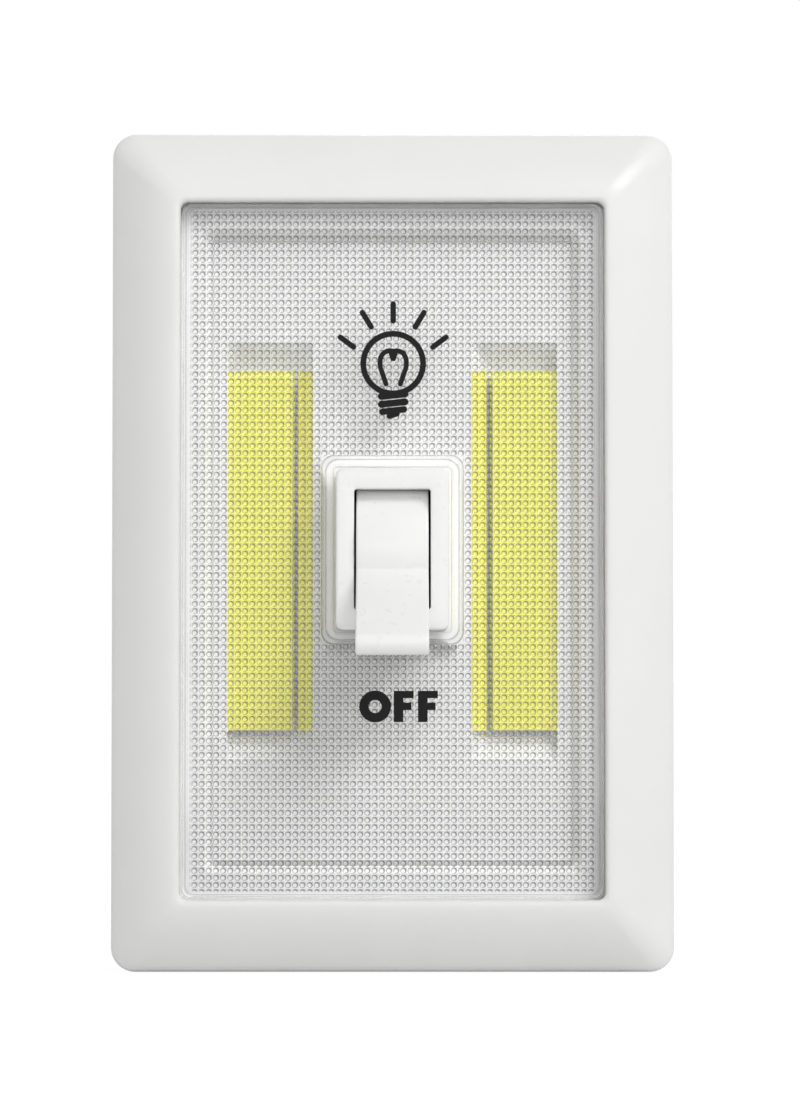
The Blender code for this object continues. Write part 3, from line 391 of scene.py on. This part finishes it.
INNER_FINISHES = {
    "light_board": ("White solder mask", "#E6E6E2", 0.02, 4.0, (0.35, 0.5), 0.5, 0.01, 0.0),
    "black_plastic": ("Black moulded nylon", "#1A1A1B", 0.1, 3.0, (0.4, 0.55), 0.6, 0.01, 0.0),
    "circuit_green": ("Green solder mask", "#1F5A34", 0.08, 5.0, (0.3, 0.45), 0.7, 0.01, 0.0),
    "cell_jacket": ("Plain cell jacket", "#2C4766", 0.03, 10.0, (0.25, 0.35), 1.0, 0.005, 0.0),
    "red_wire": ("Red vinyl insulation", "#B02A22", 0.04, 4.0, (0.4, 0.5), 0.5, 0.01, 0.0),
    "black_wire": ("Black vinyl insulation", "#1C1C1C", 0.1, 4.0, (0.4, 0.5), 0.5, 0.01, 0.0),
    "switch_metal": ("Tinned sheet steel", "#C4C2BE", 0.05, 3.0, (0.3, 0.45), 0.3, 0.004, 1.0),
    "nickelled_steel": ("Nickel plating, bright", "#CFCAC0", 0.04, 3.0, (0.14, 0.28), 0.5, 0.003, 1.0),
    "screw_steel": ("Zinc-plated steel", "#BFC0C4", 0.06, 1.5, (0.28, 0.42), 0.3, 0.004, 1.0),
}


def inner_finish(slot):
    """The finish of a hidden or small node, by its material slot."""
    name, code, drift, patch, rough, fine, relief, metallic = INNER_FINISHES[slot]
    return surfaced(name, linear(code), drift, patch, rough, fine, relief, metallic)


def shared(name, maker, *values):
    """A material made once and then reused."""
    key = "finish_" + name
    if key not in bpy.data.materials:
        material = maker(*values)
        material.name = key
    return bpy.data.materials[key]


# ---------------------------------------------------------------- operators

def bezel_part(share, d):
    """The rounded rectangle a share of the way from the frame's outside to its window."""
    part = sizes()
    outer = FRAME_HIGH - FRAME_LOW
    width = outer[0] + (part.window_width - outer[0]) * share
    height = outer[2] + (part.window_height - outer[2]) * share
    return width, height, part.corner_radius + (part.window_radius - part.corner_radius) * share, d


class SWITCHLIGHT_OT_front_frame(bpy.types.Operator):
    """Front frame: side wall, convex bezel and a rolled inner lip"""
    bl_idname = "switch_light.front_frame"
    bl_label = "Front frame"

    def execute(self, context):
        """The bezel rises as 1 - (1 - s)^1.6 across its width; its inner lip is a quarter circle."""
        part = sizes()
        crest_d = FRAME_HIGH[1]
        crest_share = 0.93
        rise = crest_d - part.bezel_start
        lip_r = (1 - crest_share) * (FRAME_HIGH[0] - part.window_width / 2)
        seam_d = FRAME_LOW[1] + 6.0
        sections = [bezel_part(0.012, seam_d), bezel_part(0.0, seam_d + 0.25),
                    bezel_part(0.0, part.bezel_start - 0.35)]
        for s in np.linspace(0.035, 1, 18):
            sections.append(bezel_part(crest_share * s, part.bezel_start + rise * (1 - (1 - s) ** 1.6)))
        for angle in np.radians((20, 40, 60, 78, 90)):
            share = crest_share + (1 - crest_share) * math.sin(angle)
            sections.append(bezel_part(share, crest_d - lip_r * (1 - math.cos(angle))))
        lip_back_d, slope_d, wall_d = 22.8, 21.2, 18.0
        sections += [bezel_part(1.0, lip_back_d), bezel_part(0.79, lip_back_d), bezel_part(0.5, slope_d)]
        sections += [bezel_part(0.19, wall_d), bezel_part(0.19, seam_d)]
        ring_piece("front_frame_shell", sections, shared("abs", abs_shell), "case",
                   ("front_frame",), 12)
        return {"FINISHED"}


def soften(x, z, half_w, half_h, radius):
    """Rounds a rectangle's corners: each corner square goes onto a quarter disc, u sqrt(1 - v^2/2)."""
    u = np.clip((np.abs(x) - (half_w - radius)) / radius, 0, None)
    v = np.clip((np.abs(z) - (half_h - radius)) / radius, 0, None)
    in_corner = (u > 0) & (v > 0)
    new_u = np.where(in_corner, u * np.sqrt(np.clip(1 - v * v / 2, 0, None)), u)
    new_v = np.where(in_corner, v * np.sqrt(np.clip(1 - u * u / 2, 0, None)), v)
    new_x = np.where(u > 0, np.sign(x) * (half_w - radius + new_u * radius), x)
    new_z = np.where(v > 0, np.sign(z) * (half_h - radius + new_v * radius), z)
    return new_x, new_z


def rectangle_ring(columns, rows, first_col, last_col, first_row, last_row):
    """Numbers of the grid points round a rectangle of columns and rows, anticlockwise from bottom left."""
    grid = np.arange(columns * rows).reshape(rows, columns)
    bottom = grid[first_row, first_col:last_col]
    right = grid[first_row:last_row, last_col]
    top = grid[last_row, last_col:first_col:-1]
    left = grid[last_row:first_row:-1, first_col]
    return np.concatenate((bottom, right, top, left)), (len(bottom), len(right), len(top), len(left))


class SWITCHLIGHT_OT_lens(bpy.types.Operator):
    """Clear lens: polished face with a collar, square grid of lenslets behind"""
    bl_idname = "switch_light.lens"
    bl_label = "Lens"

    def execute(self, context):
        """The back is a height grid, four samples a lenslet, each lenslet h (1 - r^2/a^2) high."""
        part = sizes()
        pitch = part.lenslet_pitch
        step = pitch / 4
        plate = np.array((part.window_width, part.window_height)) - 0.6
        hole = np.array((16.0, 22.5))
        half_cells = np.round((plate / 2 - 0.55) / step).astype(int)
        hole_cells = np.round(hole / 2 / step).astype(int)
        xs = np.arange(-half_cells[0], half_cells[0] + 1) * step
        zs = np.arange(-half_cells[1], half_cells[1] + 1) * step
        x, z = np.meshgrid(xs, zs)
        off_x = np.abs((x / pitch) % 1.0 - 0.5)
        off_z = np.abs((z / pitch) % 1.0 - 0.5)
        dome = np.clip(1 - (off_x ** 2 + off_z ** 2) / 0.44 ** 2, 0, None)
        collar = np.array((19.5, 25.9))
        field = (np.abs(x) < xs[-1] - step * 1.5) & (np.abs(z) < zs[-1] - step * 1.5)
        field &= (np.abs(x) > collar[0] / 2) | (np.abs(z) > collar[1] / 2)
        back_d = part.lens_face - part.lens_thickness
        d = back_d - part.lenslet_height * np.sqrt(dome) * field
        columns, rows = len(xs), len(zs)
        soft_x, soft_z = soften(x, z, xs[-1], zs[-1], part.window_radius)
        points = [np.column_stack((soft_x.ravel(), d.ravel(), soft_z.ravel()))]
        low_c, high_c = half_cells[0] - hole_cells[0], half_cells[0] + hole_cells[0]
        low_r, high_r = half_cells[1] - hole_cells[1], half_cells[1] + hole_cells[1]
        row, col = np.meshgrid(np.arange(rows - 1), np.arange(columns - 1), indexing="ij")
        keep = ~((row >= low_r) & (row < high_r) & (col >= low_c) & (col < high_c))
        corner = (row * columns + col)[keep]
        # Seen from behind, so the order runs the other way round
        faces = np.column_stack((corner, corner + columns, corner + columns + 1, corner + 1)).tolist()

        outer, outer_sides = rectangle_ring(columns, rows, 0, columns - 1, 0, rows - 1)
        inner, inner_sides = rectangle_ring(columns, rows, low_c, high_c, low_r, high_r)
        count = columns * rows
        flange = (LENS_HIGH - LENS_LOW)[[0, 2]]
        grid_size = 2 * np.array((xs[-1], zs[-1]))
        # Each loop is size, depth and the strength of the painted shade line that the lens's colour takes
        # along it, drawn where the clear edges look dark.
        outer_parts = [
            (grid_size, LENS_LOW[1], 0.0), (flange, LENS_LOW[1], 0.0), (flange, back_d, 0.0),
            (plate, back_d, 0.0),
            (plate, part.lens_face - 0.25, 0.0), (plate - 0.15, part.lens_face - 0.08, 0.0),
            (plate - 0.5, part.lens_face, 0.0), (plate - 0.9, part.lens_face, 0.5),
            (plate - 1.2, part.lens_face, 0.0),
        ]
        collar_d = LENS_HIGH[1]
        # The collar's loops in the same way: the third number is the strength of the painted shade line.
        inner_parts = [
            (hole, collar_d - 0.12, 0.5), (hole + 0.25, collar_d, 0.0), (collar - 1.7, collar_d, 0.0),
            (collar - 1.4, collar_d - 0.05, 0.8), (collar - 1.0, collar_d - 0.15, 0.1),
            (collar - 0.5, collar_d - 0.4, 0.1), (collar - 0.2, part.lens_face + 0.2, 1.0),
            (collar, part.lens_face, 0.0),
        ]
        ends = {}
        lines = [np.zeros(count)]
        for label, ring, parts_list, radius, outwards in (
            ("outer", outer, outer_parts, part.window_radius, True),
            ("inner", inner, inner_parts, 1.7, False),
        ):
            rings = [ring]
            for size, depth, line in parts_list:
                flat_x = x.ravel()[ring] * size[0] / 2 / np.abs(x.ravel()[ring]).max()
                flat_z = z.ravel()[ring] * size[1] / 2 / np.abs(z.ravel()[ring]).max()
                bend = radius if size[0] > hole[0] + 1 else 0.6
                loop_x, loop_z = soften(flat_x, flat_z, size[0] / 2, size[1] / 2, bend)
                points.append(np.column_stack((loop_x, np.full(len(ring), depth), loop_z)))
                rings.append(np.arange(count, count + len(ring)))
                lines.append(np.full(len(ring), line))
                count += len(ring)
            for low, high in zip(rings, rings[1:]):
                after_low, after_high = np.roll(low, -1), np.roll(high, -1)
                quads = np.column_stack((low, after_low, after_high, high))
                faces += (quads if outwards else quads[:, ::-1]).tolist()
            ends[label] = rings[-1]
        # The flat face between rim and collar: one face a side
        at_outer, at_inner = 0, 0
        for side in range(4):
            out = [ends["outer"][(at_outer + k) % len(outer)] for k in range(outer_sides[side] + 1)]
            inn = [ends["inner"][(at_inner + k) % len(inner)] for k in range(inner_sides[side] + 1)]
            faces.append(out + inn[::-1])
            at_outer += outer_sides[side]
            at_inner += inner_sides[side]
        points = np.vstack(points)
        lens = put_mesh("lens_plate", points, faces, shared("clear", clear_styrene), "case",
                        ("lens",), smooth_angle=50.0)
        mask = np.zeros(len(points), dtype=np.float32)
        mask[:field.size] = field.ravel()
        lens.data.attributes.new("lenslets", "FLOAT", "POINT").data.foreach_set("value", mask)
        # Painted shade: the strength of the dark line along each loop, stored as the edges attribute.
        edges = np.concatenate(lines).astype(np.float32)
        lens.data.attributes.new("edges", "FLOAT", "POINT").data.foreach_set("value", edges)
        return {"FINISHED"}


class SWITCHLIGHT_OT_surround(bpy.types.Operator):
    """Switch surround: rounded block with a straight opening over the drum's room"""
    bl_idname = "switch_light.surround"
    bl_label = "Switch surround"

    def execute(self, context):
        """A ring of rounded rectangles: skirt, flange, neck, rounded face, opening and drum room."""
        face_d = SURROUND_HIGH[1]
        low_d = SURROUND_LOW[1]
        flange_w, _, flange_h = SURROUND_HIGH - SURROUND_LOW
        neck_w, neck_h = 15.4, 21.9
        open_w, open_h = 10.4, 16.4
        skirt_h = flange_h - 3.2
        edge = 0.45
        flange_back_d, flange_front_d, corner = 19.5, 20.7, 1.0
        sections = [(neck_w, skirt_h, corner, low_d), (neck_w, skirt_h, corner, flange_back_d)]
        sections += [(flange_w, flange_h, corner, flange_back_d), (flange_w, flange_h, corner,
                                                                   flange_front_d)]
        sections.append((neck_w, neck_h, corner, flange_front_d))
        for angle in np.radians(np.linspace(0, 90, 6)):
            inset = edge * (1 - math.cos(angle))
            size = (neck_w - 2 * inset, neck_h - 2 * inset)
            sections.append((*size, corner, face_d - edge * (1 - math.sin(angle))))
        round_in = 0.2
        for angle in np.radians((90, 60, 30, 0)):
            grow = 2 * round_in * (1 - math.cos(angle))
            sections.append((open_w + grow, open_h + grow, 0.45,
                             face_d - round_in * (1 - math.sin(angle))))
        room_h, sharp = 19.7, 0.3
        sections += [(open_w, open_h, sharp, 23.35), (open_w, 18.6, sharp, 21.7)]
        sections += [(open_w, room_h, sharp, PIVOT_D), (open_w, room_h, sharp, low_d)]
        ring_piece("switch_surround_block", sections, shared("switch_abs", abs_switch), "case",
                   ("switch_surround",), 8)
        return {"FINISHED"}


def lever_profile():
    """The lever from its side, arm along +u: rounded tip, softened crease, drum and fork."""
    drum_r, half_root, half_tip, length = 9.5, 2.23, 1.6, 24.55
    root = math.asin(half_root / drum_r)
    tip = np.radians(np.linspace(-86, 86, 20))
    outline = [np.column_stack((length + half_tip * np.cos(tip), half_tip * np.sin(tip)))]
    drum = np.linspace(root + 0.03, math.radians(91.5), 44)
    root_u = drum_r * math.cos(root)
    crease = np.array(((root_u + 0.35, half_root + 0.02), (root_u + 0.08, half_root + 0.1)))
    upper = np.vstack((crease, drum_r * np.column_stack((np.cos(drum), np.sin(drum)))))
    fork = np.array(((-1.3, 2.6), (-4.4, 2.6), (-4.4, 1.3), (-2.0, 1.3)))
    half = np.vstack((upper, fork))
    outline += [half, half[::-1] * (1, -1)]
    return np.vstack(outline)


class SWITCHLIGHT_OT_lever(bpy.types.Operator):
    """Toggle lever with rounded edges"""
    bl_idname = "switch_light.lever"
    bl_label = "Toggle lever"

    def execute(self, context):
        """The side outline is swept across the lever; near each side it draws in on a quarter circle."""
        outline = lever_profile()
        along = np.roll(outline, -1, axis=0) - np.roll(outline, 1, axis=0)
        along /= np.linalg.norm(along, axis=1)[:, None]
        inward = np.column_stack((-along[:, 1], along[:, 0]))
        edge, half_w = 0.3, 4.9
        angles = np.radians(np.linspace(0, 90, 6))
        across = [(-half_w + edge * (1 - math.cos(a)), edge * (1 - math.sin(a))) for a in angles]
        across += [(-x, inset) for x, inset in across[::-1]]
        rest = math.radians(-LEVER_SWING / 2)
        loops = []
        for x, inset in across:
            u, v = (outline + inward * inset).T
            d = PIVOT_D + u * math.cos(rest) - v * math.sin(rest)
            z = u * math.sin(rest) + v * math.cos(rest)
            loops.append(np.column_stack((np.full(len(u), x), d, z)))
        count = len(outline)
        faces = [face[::-1] for face in loop_faces(len(loops), count)]
        last = (len(loops) - 1) * count
        faces += [list(range(count)), list(range(last, last + count))[::-1]]
        put_mesh("toggle_lever_moulding", np.vstack(loops), faces, shared("switch_abs", abs_switch),
                 "lever",
                 ("toggle_lever",), smooth_angle=28.0)
        return {"FINISHED"}


def disc_arc(radius, start, end, count, centre=(0.0, 0.0)):
    """Points on an arc, in degrees."""
    angle = np.radians(np.linspace(start, end, count))
    return np.column_stack((centre[0] + radius * np.cos(angle), centre[1] + radius * np.sin(angle)))


def stroke(points, width, closed=False):
    """A line of ink: both sides of a path, half a width away, with round ends unless it is closed."""
    points = np.asarray(points, dtype=float)
    if closed:
        along = np.roll(points, -1, axis=0) - np.roll(points, 1, axis=0)
    else:
        along = np.gradient(points, axis=0)
    along /= np.linalg.norm(along, axis=1)[:, None]
    normal = np.column_stack((-along[:, 1], along[:, 0])) * width / 2
    left, right = points + normal, points - normal
    if closed:
        return "ring", np.vstack((left, right))
    turn = np.linspace(0, math.pi, 8)[1:-1][:, None]
    end_cap = points[-1] - normal[-1] * np.cos(turn) + along[-1] * width / 2 * np.sin(turn)
    start_cap = points[0] + normal[0] * np.cos(turn) - along[0] * width / 2 * np.sin(turn)
    return "plate", np.vstack((right, end_cap, left[::-1], start_cap))


def rounded_path(points, passes=2):
    """Cuts the corners of a path and leaves its two ends in place."""
    path = np.asarray(points, dtype=float)
    for _ in range(passes):
        early = path[:-1] * 0.75 + path[1:] * 0.25
        late = path[:-1] * 0.25 + path[1:] * 0.75
        between = np.stack((early, late), axis=1).reshape(-1, 2)
        path = np.vstack((path[:1], between, path[-1:]))
    return path


def print_solid(shapes, low_d, high_d, centre):
    """Thin ink films: each plate or ring, anticlockwise from the front, gets a back, a face and sides."""
    points, faces, start = [], [], 0
    for order, (kind, outline) in enumerate(shapes):
        count = len(outline)
        flat = outline + np.asarray(centre)
        for d in (low_d, high_d + order * 0.0015):
            points.append(np.column_stack((flat[:, 0], np.full(count, d), flat[:, 1])))
        if kind == "plate":
            faces += loop_faces(2, count, start)
            faces += [list(range(start, start + count))[::-1],
                      list(range(start + count, start + 2 * count))]
        else:
            n = count // 2
            i = np.arange(n)
            j = (i + 1) % n
            left, right, up_left, up_right = start + i, start + n + i, start + 2 * n + i, start + 3 * n + i
            nl, nr, nul, nur = start + j, start + n + j, start + 2 * n + j, start + 3 * n + j
            faces += np.column_stack((right, nr, nur, up_right)).tolist()
            faces += np.column_stack((up_left, nul, nl, left)).tolist()
            faces += np.column_stack((up_right, nur, nul, up_left)).tolist()
            faces += np.column_stack((left, nl, nr, right)).tolist()
        start += 2 * count
    return np.vstack(points), faces


class SWITCHLIGHT_OT_print(bpy.types.Operator):
    """Printed marks on the lens: a plain lamp sign above the switch and OFF below it"""
    bl_idname = "switch_light.print"
    bl_label = "Printed marks"

    def execute(self, context):
        """Strokes and plates from arcs and straight lines, standing 0.03 mm off the lens."""
        part = sizes()
        low_d = part.lens_face + 0.01
        high_d = low_d + part.print_thickness
        line = 0.68
        shapes = [stroke(disc_arc(4.08, 0, 354, 60), 0.8, closed=True)]
        half_loop = np.array(((0.98, -2.8), (1.4, -1.5), (1.85, -0.3), (1.7, 1.1), (0.9, 1.75),
                              (0.0, 1.72)))
        for side in (-1, 1):
            shapes.append(stroke(rounded_path(half_loop * (side, 1)), line))
            shapes.append(stroke(((side * 5.4, 2.25), (side * 6.3, 2.93), (side * 7.2, 3.6)), 0.76))
        shapes.append(("plate", np.array(((-0.7, 1.6), (-0.28, 0.35), (0.28, 0.35), (0.7, 1.6)))))
        for drop, half, width in ((4.3, 1.6, 1.0), (5.4, 1.62, 0.94), (6.42, 1.48, 0.88), (7.0, 0.5, 0.8)):
            shapes.append(stroke(((-half, -drop - 0.17), (0, -drop), (half, -drop + 0.17)), width))
        for degrees in (59, 90, 121):
            way = np.array((math.cos(math.radians(degrees)), math.sin(math.radians(degrees))))
            shapes.append(stroke((way * 5.85, way * 7.0, way * 8.15), 0.76))
        points, faces = print_solid(shapes, low_d, high_d, (0.1, 25.42))
        ink = shared("ink", printed_ink)
        put_mesh("print_lamp_sign", points, faces, ink, "case")

        height, stem, bar = 4.25, 1.3, 1.0
        letters = [stroke(disc_arc(height / 2 - 0.6, 0, 352.8, 50, (-2.95, 0.0)), 1.28, closed=True)]
        for x in (-0.42, 2.87):
            top, low = height / 2, -height / 2
            mid = top - 1.62
            letters.append(("plate", np.array((
                (x, low), (x + stem, low), (x + stem, mid - bar), (x + 2.4, mid - bar), (x + 2.4, mid),
                (x + stem, mid), (x + stem, top - bar), (x + 2.7, top - bar), (x + 2.7, top), (x, top),
            ))))
        points, faces = print_solid(letters, low_d, high_d, (0.6, -21.3))
        put_mesh("print_off", points, faces, ink, "case")
        return {"FINISHED"}


class SWITCHLIGHT_OT_phosphor_edges(bpy.types.Operator):
    """Phosphor that runs up the sloping inner wall of each pocket"""
    bl_idname = "switch_light.phosphor_edges"
    bl_label = "Phosphor edges"

    def execute(self, context):
        """Two thin closed films: one on the slope, one from the strip to the pocket's outer wall."""
        low, high = box_mm("cob_phosphor_right")
        floor_d, top_d = low[1] - 0.9, TRAY_HIGH[1] - 2.0
        run = np.linspace(low[2] - 0.15, high[2] + 0.15, 40)
        share = np.linspace(0.0, 1.0, 7)
        slope_x = low[0] - 0.4 - 2.05 * share
        slope_d = floor_d + 0.35 + (top_d - floor_d - 0.35) * share
        ledge_x = np.array((POCKET_WALL - 0.02, high[0] - 0.15))
        ledge_d = np.full(2, high[1] - 0.13)
        for side, label in ((-1, "left"), (1, "right")):
            points, faces, start = [], [], 0
            for film_x, film_d in ((slope_x, slope_d), (ledge_x, ledge_d)):
                front = np.column_stack((side * film_x, film_d + 0.1))
                back = np.column_stack((side * film_x, film_d + 0.03))[::-1]
                outline = np.vstack((front, back))
                count = len(outline)
                points += [np.column_stack((outline, np.full(count, z))) for z in run]
                last = start + (len(run) - 1) * count
                faces += loop_faces(len(run), count, start)
                faces += [list(range(start, start + count))[::-1], list(range(last, last + count))]
                start += len(run) * count
            if side < 0:
                faces = [face[::-1] for face in faces]
            put_mesh(f"phosphor_edge_{label}", np.vstack(points), faces,
                     shared("phosphor", phosphor_silicone),
                     "case")
        return {"FINISHED"}


class SWITCHLIGHT_OT_inner_parts(bpy.types.Operator):
    """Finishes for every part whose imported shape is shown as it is"""
    bl_idname = "switch_light.inner_parts"
    bl_label = "Housing, tray and inner parts"

    def execute(self, context):
        makers = {"white_abs": ("abs", abs_shell), "reflector_white": ("reflector", reflector_white),
                  "phosphor": ("phosphor", phosphor_silicone), "clear_plastic": ("clear", clear_styrene)}
        for entry in frame["record"]["subparts"]:
            slot = entry["material_slot"]
            thing = frame["nodes"][entry["node"]]
            if slot in makers:
                material = shared(*makers[slot])
            else:
                material = shared(slot, inner_finish, slot)
            if slot in ROUND_SLOTS:
                thing.data.polygons.foreach_set("use_smooth", [True] * len(thing.data.polygons))
                thing.data.set_sharp_from_angle(angle=math.radians(35))
            if thing.material_slots:
                for place in thing.material_slots:
                    place.material = material
            else:
                thing.data.materials.append(material)
        return {"FINISHED"}


def soft_lamp(name, where, size, watts):
    """A square area lamp that faces the middle of the light."""
    lamp = bpy.data.lights.new(name, "AREA")
    lamp.shape = "SQUARE"
    lamp.size = size
    lamp.energy = watts
    thing = bpy.data.objects.new(name, lamp)
    thing.location = where
    direction = -thing.location
    thing.rotation_euler = direction.to_track_quat("-Z", "Y").to_euler()
    bpy.context.scene.collection.objects.link(thing)
    return thing


class SWITCHLIGHT_OT_studio(bpy.types.Operator):
    """Pale floor, white surroundings, soft lamps and the camera"""
    bl_idname = "switch_light.studio"
    bl_label = "Studio"

    def execute(self, context):
        scene = context.scene
        scene.view_settings.view_transform = "Standard"
        world = bpy.data.worlds.new("Studio white")
        scene.world = world
        world.use_nodes = True
        tree = world.node_tree
        tree.nodes.clear()
        path = add_node(tree, "ShaderNodeLightPath")
        seen = add_node(tree, "ShaderNodeMath", {"operation": "MAXIMUM"},
                        i0=path.outputs["Is Camera Ray"], i1=path.outputs["Is Glossy Ray"])
        seen = add_node(tree, "ShaderNodeMath", {"operation": "MAXIMUM"},
                        i0=seen.outputs[0], i1=path.outputs["Is Transmission Ray"])
        light = add_node(tree, "ShaderNodeBackground", Color=(1, 1, 1, 1), Strength=0.5)
        white = add_node(tree, "ShaderNodeBackground", Color=(1, 1, 1, 1), Strength=1.0)
        mix = add_node(tree, "ShaderNodeMixShader", Fac=seen.outputs[0], i1=light.outputs[0],
                       i2=white.outputs[0])
        add_node(tree, "ShaderNodeOutputWorld", Surface=mix.outputs[0])

        half = 2.0
        floor_z = CAD_BOX[0][2] - 0.0002
        mesh = bpy.data.meshes.new("floor")
        corners = [(-half, -half, floor_z), (half, -half, floor_z), (half, half, floor_z),
                   (-half, half, floor_z)]
        mesh.from_pydata(corners, [], [(0, 1, 2, 3)])
        floor = bpy.data.objects.new("floor", mesh)
        scene.collection.objects.link(floor)
        material, tree, shader, output = new_material("Matt white card")
        patches = grain(tree, 40.0)
        tint(tree, shader, patches, (0.86, 0.86, 0.86), (0.9, 0.9, 0.9))
        shader.inputs["Roughness"].default_value = 0.9
        path = add_node(tree, "ShaderNodeLightPath")
        where = add_node(tree, "ShaderNodeTexCoord")
        reach = add_node(tree, "ShaderNodeVectorMath", {"operation": "LENGTH"}, i0=where.outputs["Object"])
        clean = add_node(tree, "ShaderNodeMapRange", Value=reach.outputs["Value"], From_Min=0.07,
                         From_Max=0.25,
                         To_Min=0.9, To_Max=1.0)
        share = add_node(tree, "ShaderNodeMath", {"operation": "MULTIPLY"},
                         i0=path.outputs["Is Camera Ray"], i1=clean.outputs["Result"])
        glow = add_node(tree, "ShaderNodeEmission", Color=(1, 1, 1, 1), Strength=1.05)
        mix = add_node(tree, "ShaderNodeMixShader", Fac=share.outputs[0], i1=shader.outputs["BSDF"],
                       i2=glow.outputs[0])
        tree.links.new(mix.outputs["Shader"], output.inputs["Surface"])
        mesh.materials.append(material)

        soft_lamp("key_upper_right", (0.55, -0.75, 0.75), 0.5, 5.2)
        soft_lamp("fill_left", (-0.8, -0.7, 0.15), 0.7, 0.4)
        soft_lamp("fill_front", (0.1, -1.2, 0.1), 0.6, 1.2)
        soft_lamp("fill_back", (0.3, 0.9, 0.5), 0.7, 2.5)

        camera = bpy.data.cameras.new("camera")
        camera.sensor_fit = "VERTICAL"
        camera.sensor_height = 24.0
        camera.lens = 97.5
        camera.clip_start = 0.05
        thing = bpy.data.objects.new("camera", camera)
        lift = math.radians(-2.5)
        reach = 0.63
        thing.location = (0.00103, -reach * math.cos(lift), 0.0013 + reach * math.sin(lift))
        thing.rotation_euler = (math.radians(90) - lift, 0.0, 0.0)
        scene.collection.objects.link(thing)
        scene.camera = thing
        return {"FINISHED"}


class SWITCHLIGHT_PT_panel(bpy.types.Panel):
    """Lists the steps and the sizes in the sidebar"""
    bl_label = "Switch light"
    bl_space_type = "VIEW_3D"
    bl_region_type = "UI"
    bl_category = "Switch light"

    def draw(self, context):
        for step in STEPS:
            self.layout.operator(step.bl_idname)
        for group in (context.scene.switch_light_sizes, context.scene.switch_light_colours):
            for name in group.__annotations__:
                self.layout.prop(group, name)


STEPS = (
    SWITCHLIGHT_OT_front_frame, SWITCHLIGHT_OT_lens, SWITCHLIGHT_OT_surround, SWITCHLIGHT_OT_lever,
    SWITCHLIGHT_OT_print, SWITCHLIGHT_OT_phosphor_edges, SWITCHLIGHT_OT_inner_parts, SWITCHLIGHT_OT_studio,
)
CLASSES = (SwitchLightSizes, SwitchLightColours, *STEPS, SWITCHLIGHT_PT_panel)


def register():
    for entry in CLASSES:
        bpy.utils.register_class(entry)
    bpy.types.Scene.switch_light_sizes = bpy.props.PointerProperty(type=SwitchLightSizes)
    bpy.types.Scene.switch_light_colours = bpy.props.PointerProperty(type=SwitchLightColours)


def unregister():
    del bpy.types.Scene.switch_light_sizes
    del bpy.types.Scene.switch_light_colours
    for entry in reversed(CLASSES):
        bpy.utils.unregister_class(entry)


def main():
    register()
    for step in STEPS:
        group, name = step.bl_idname.split(".")
        getattr(getattr(bpy.ops, group), name)()


if __name__ == "__main__":
    main()
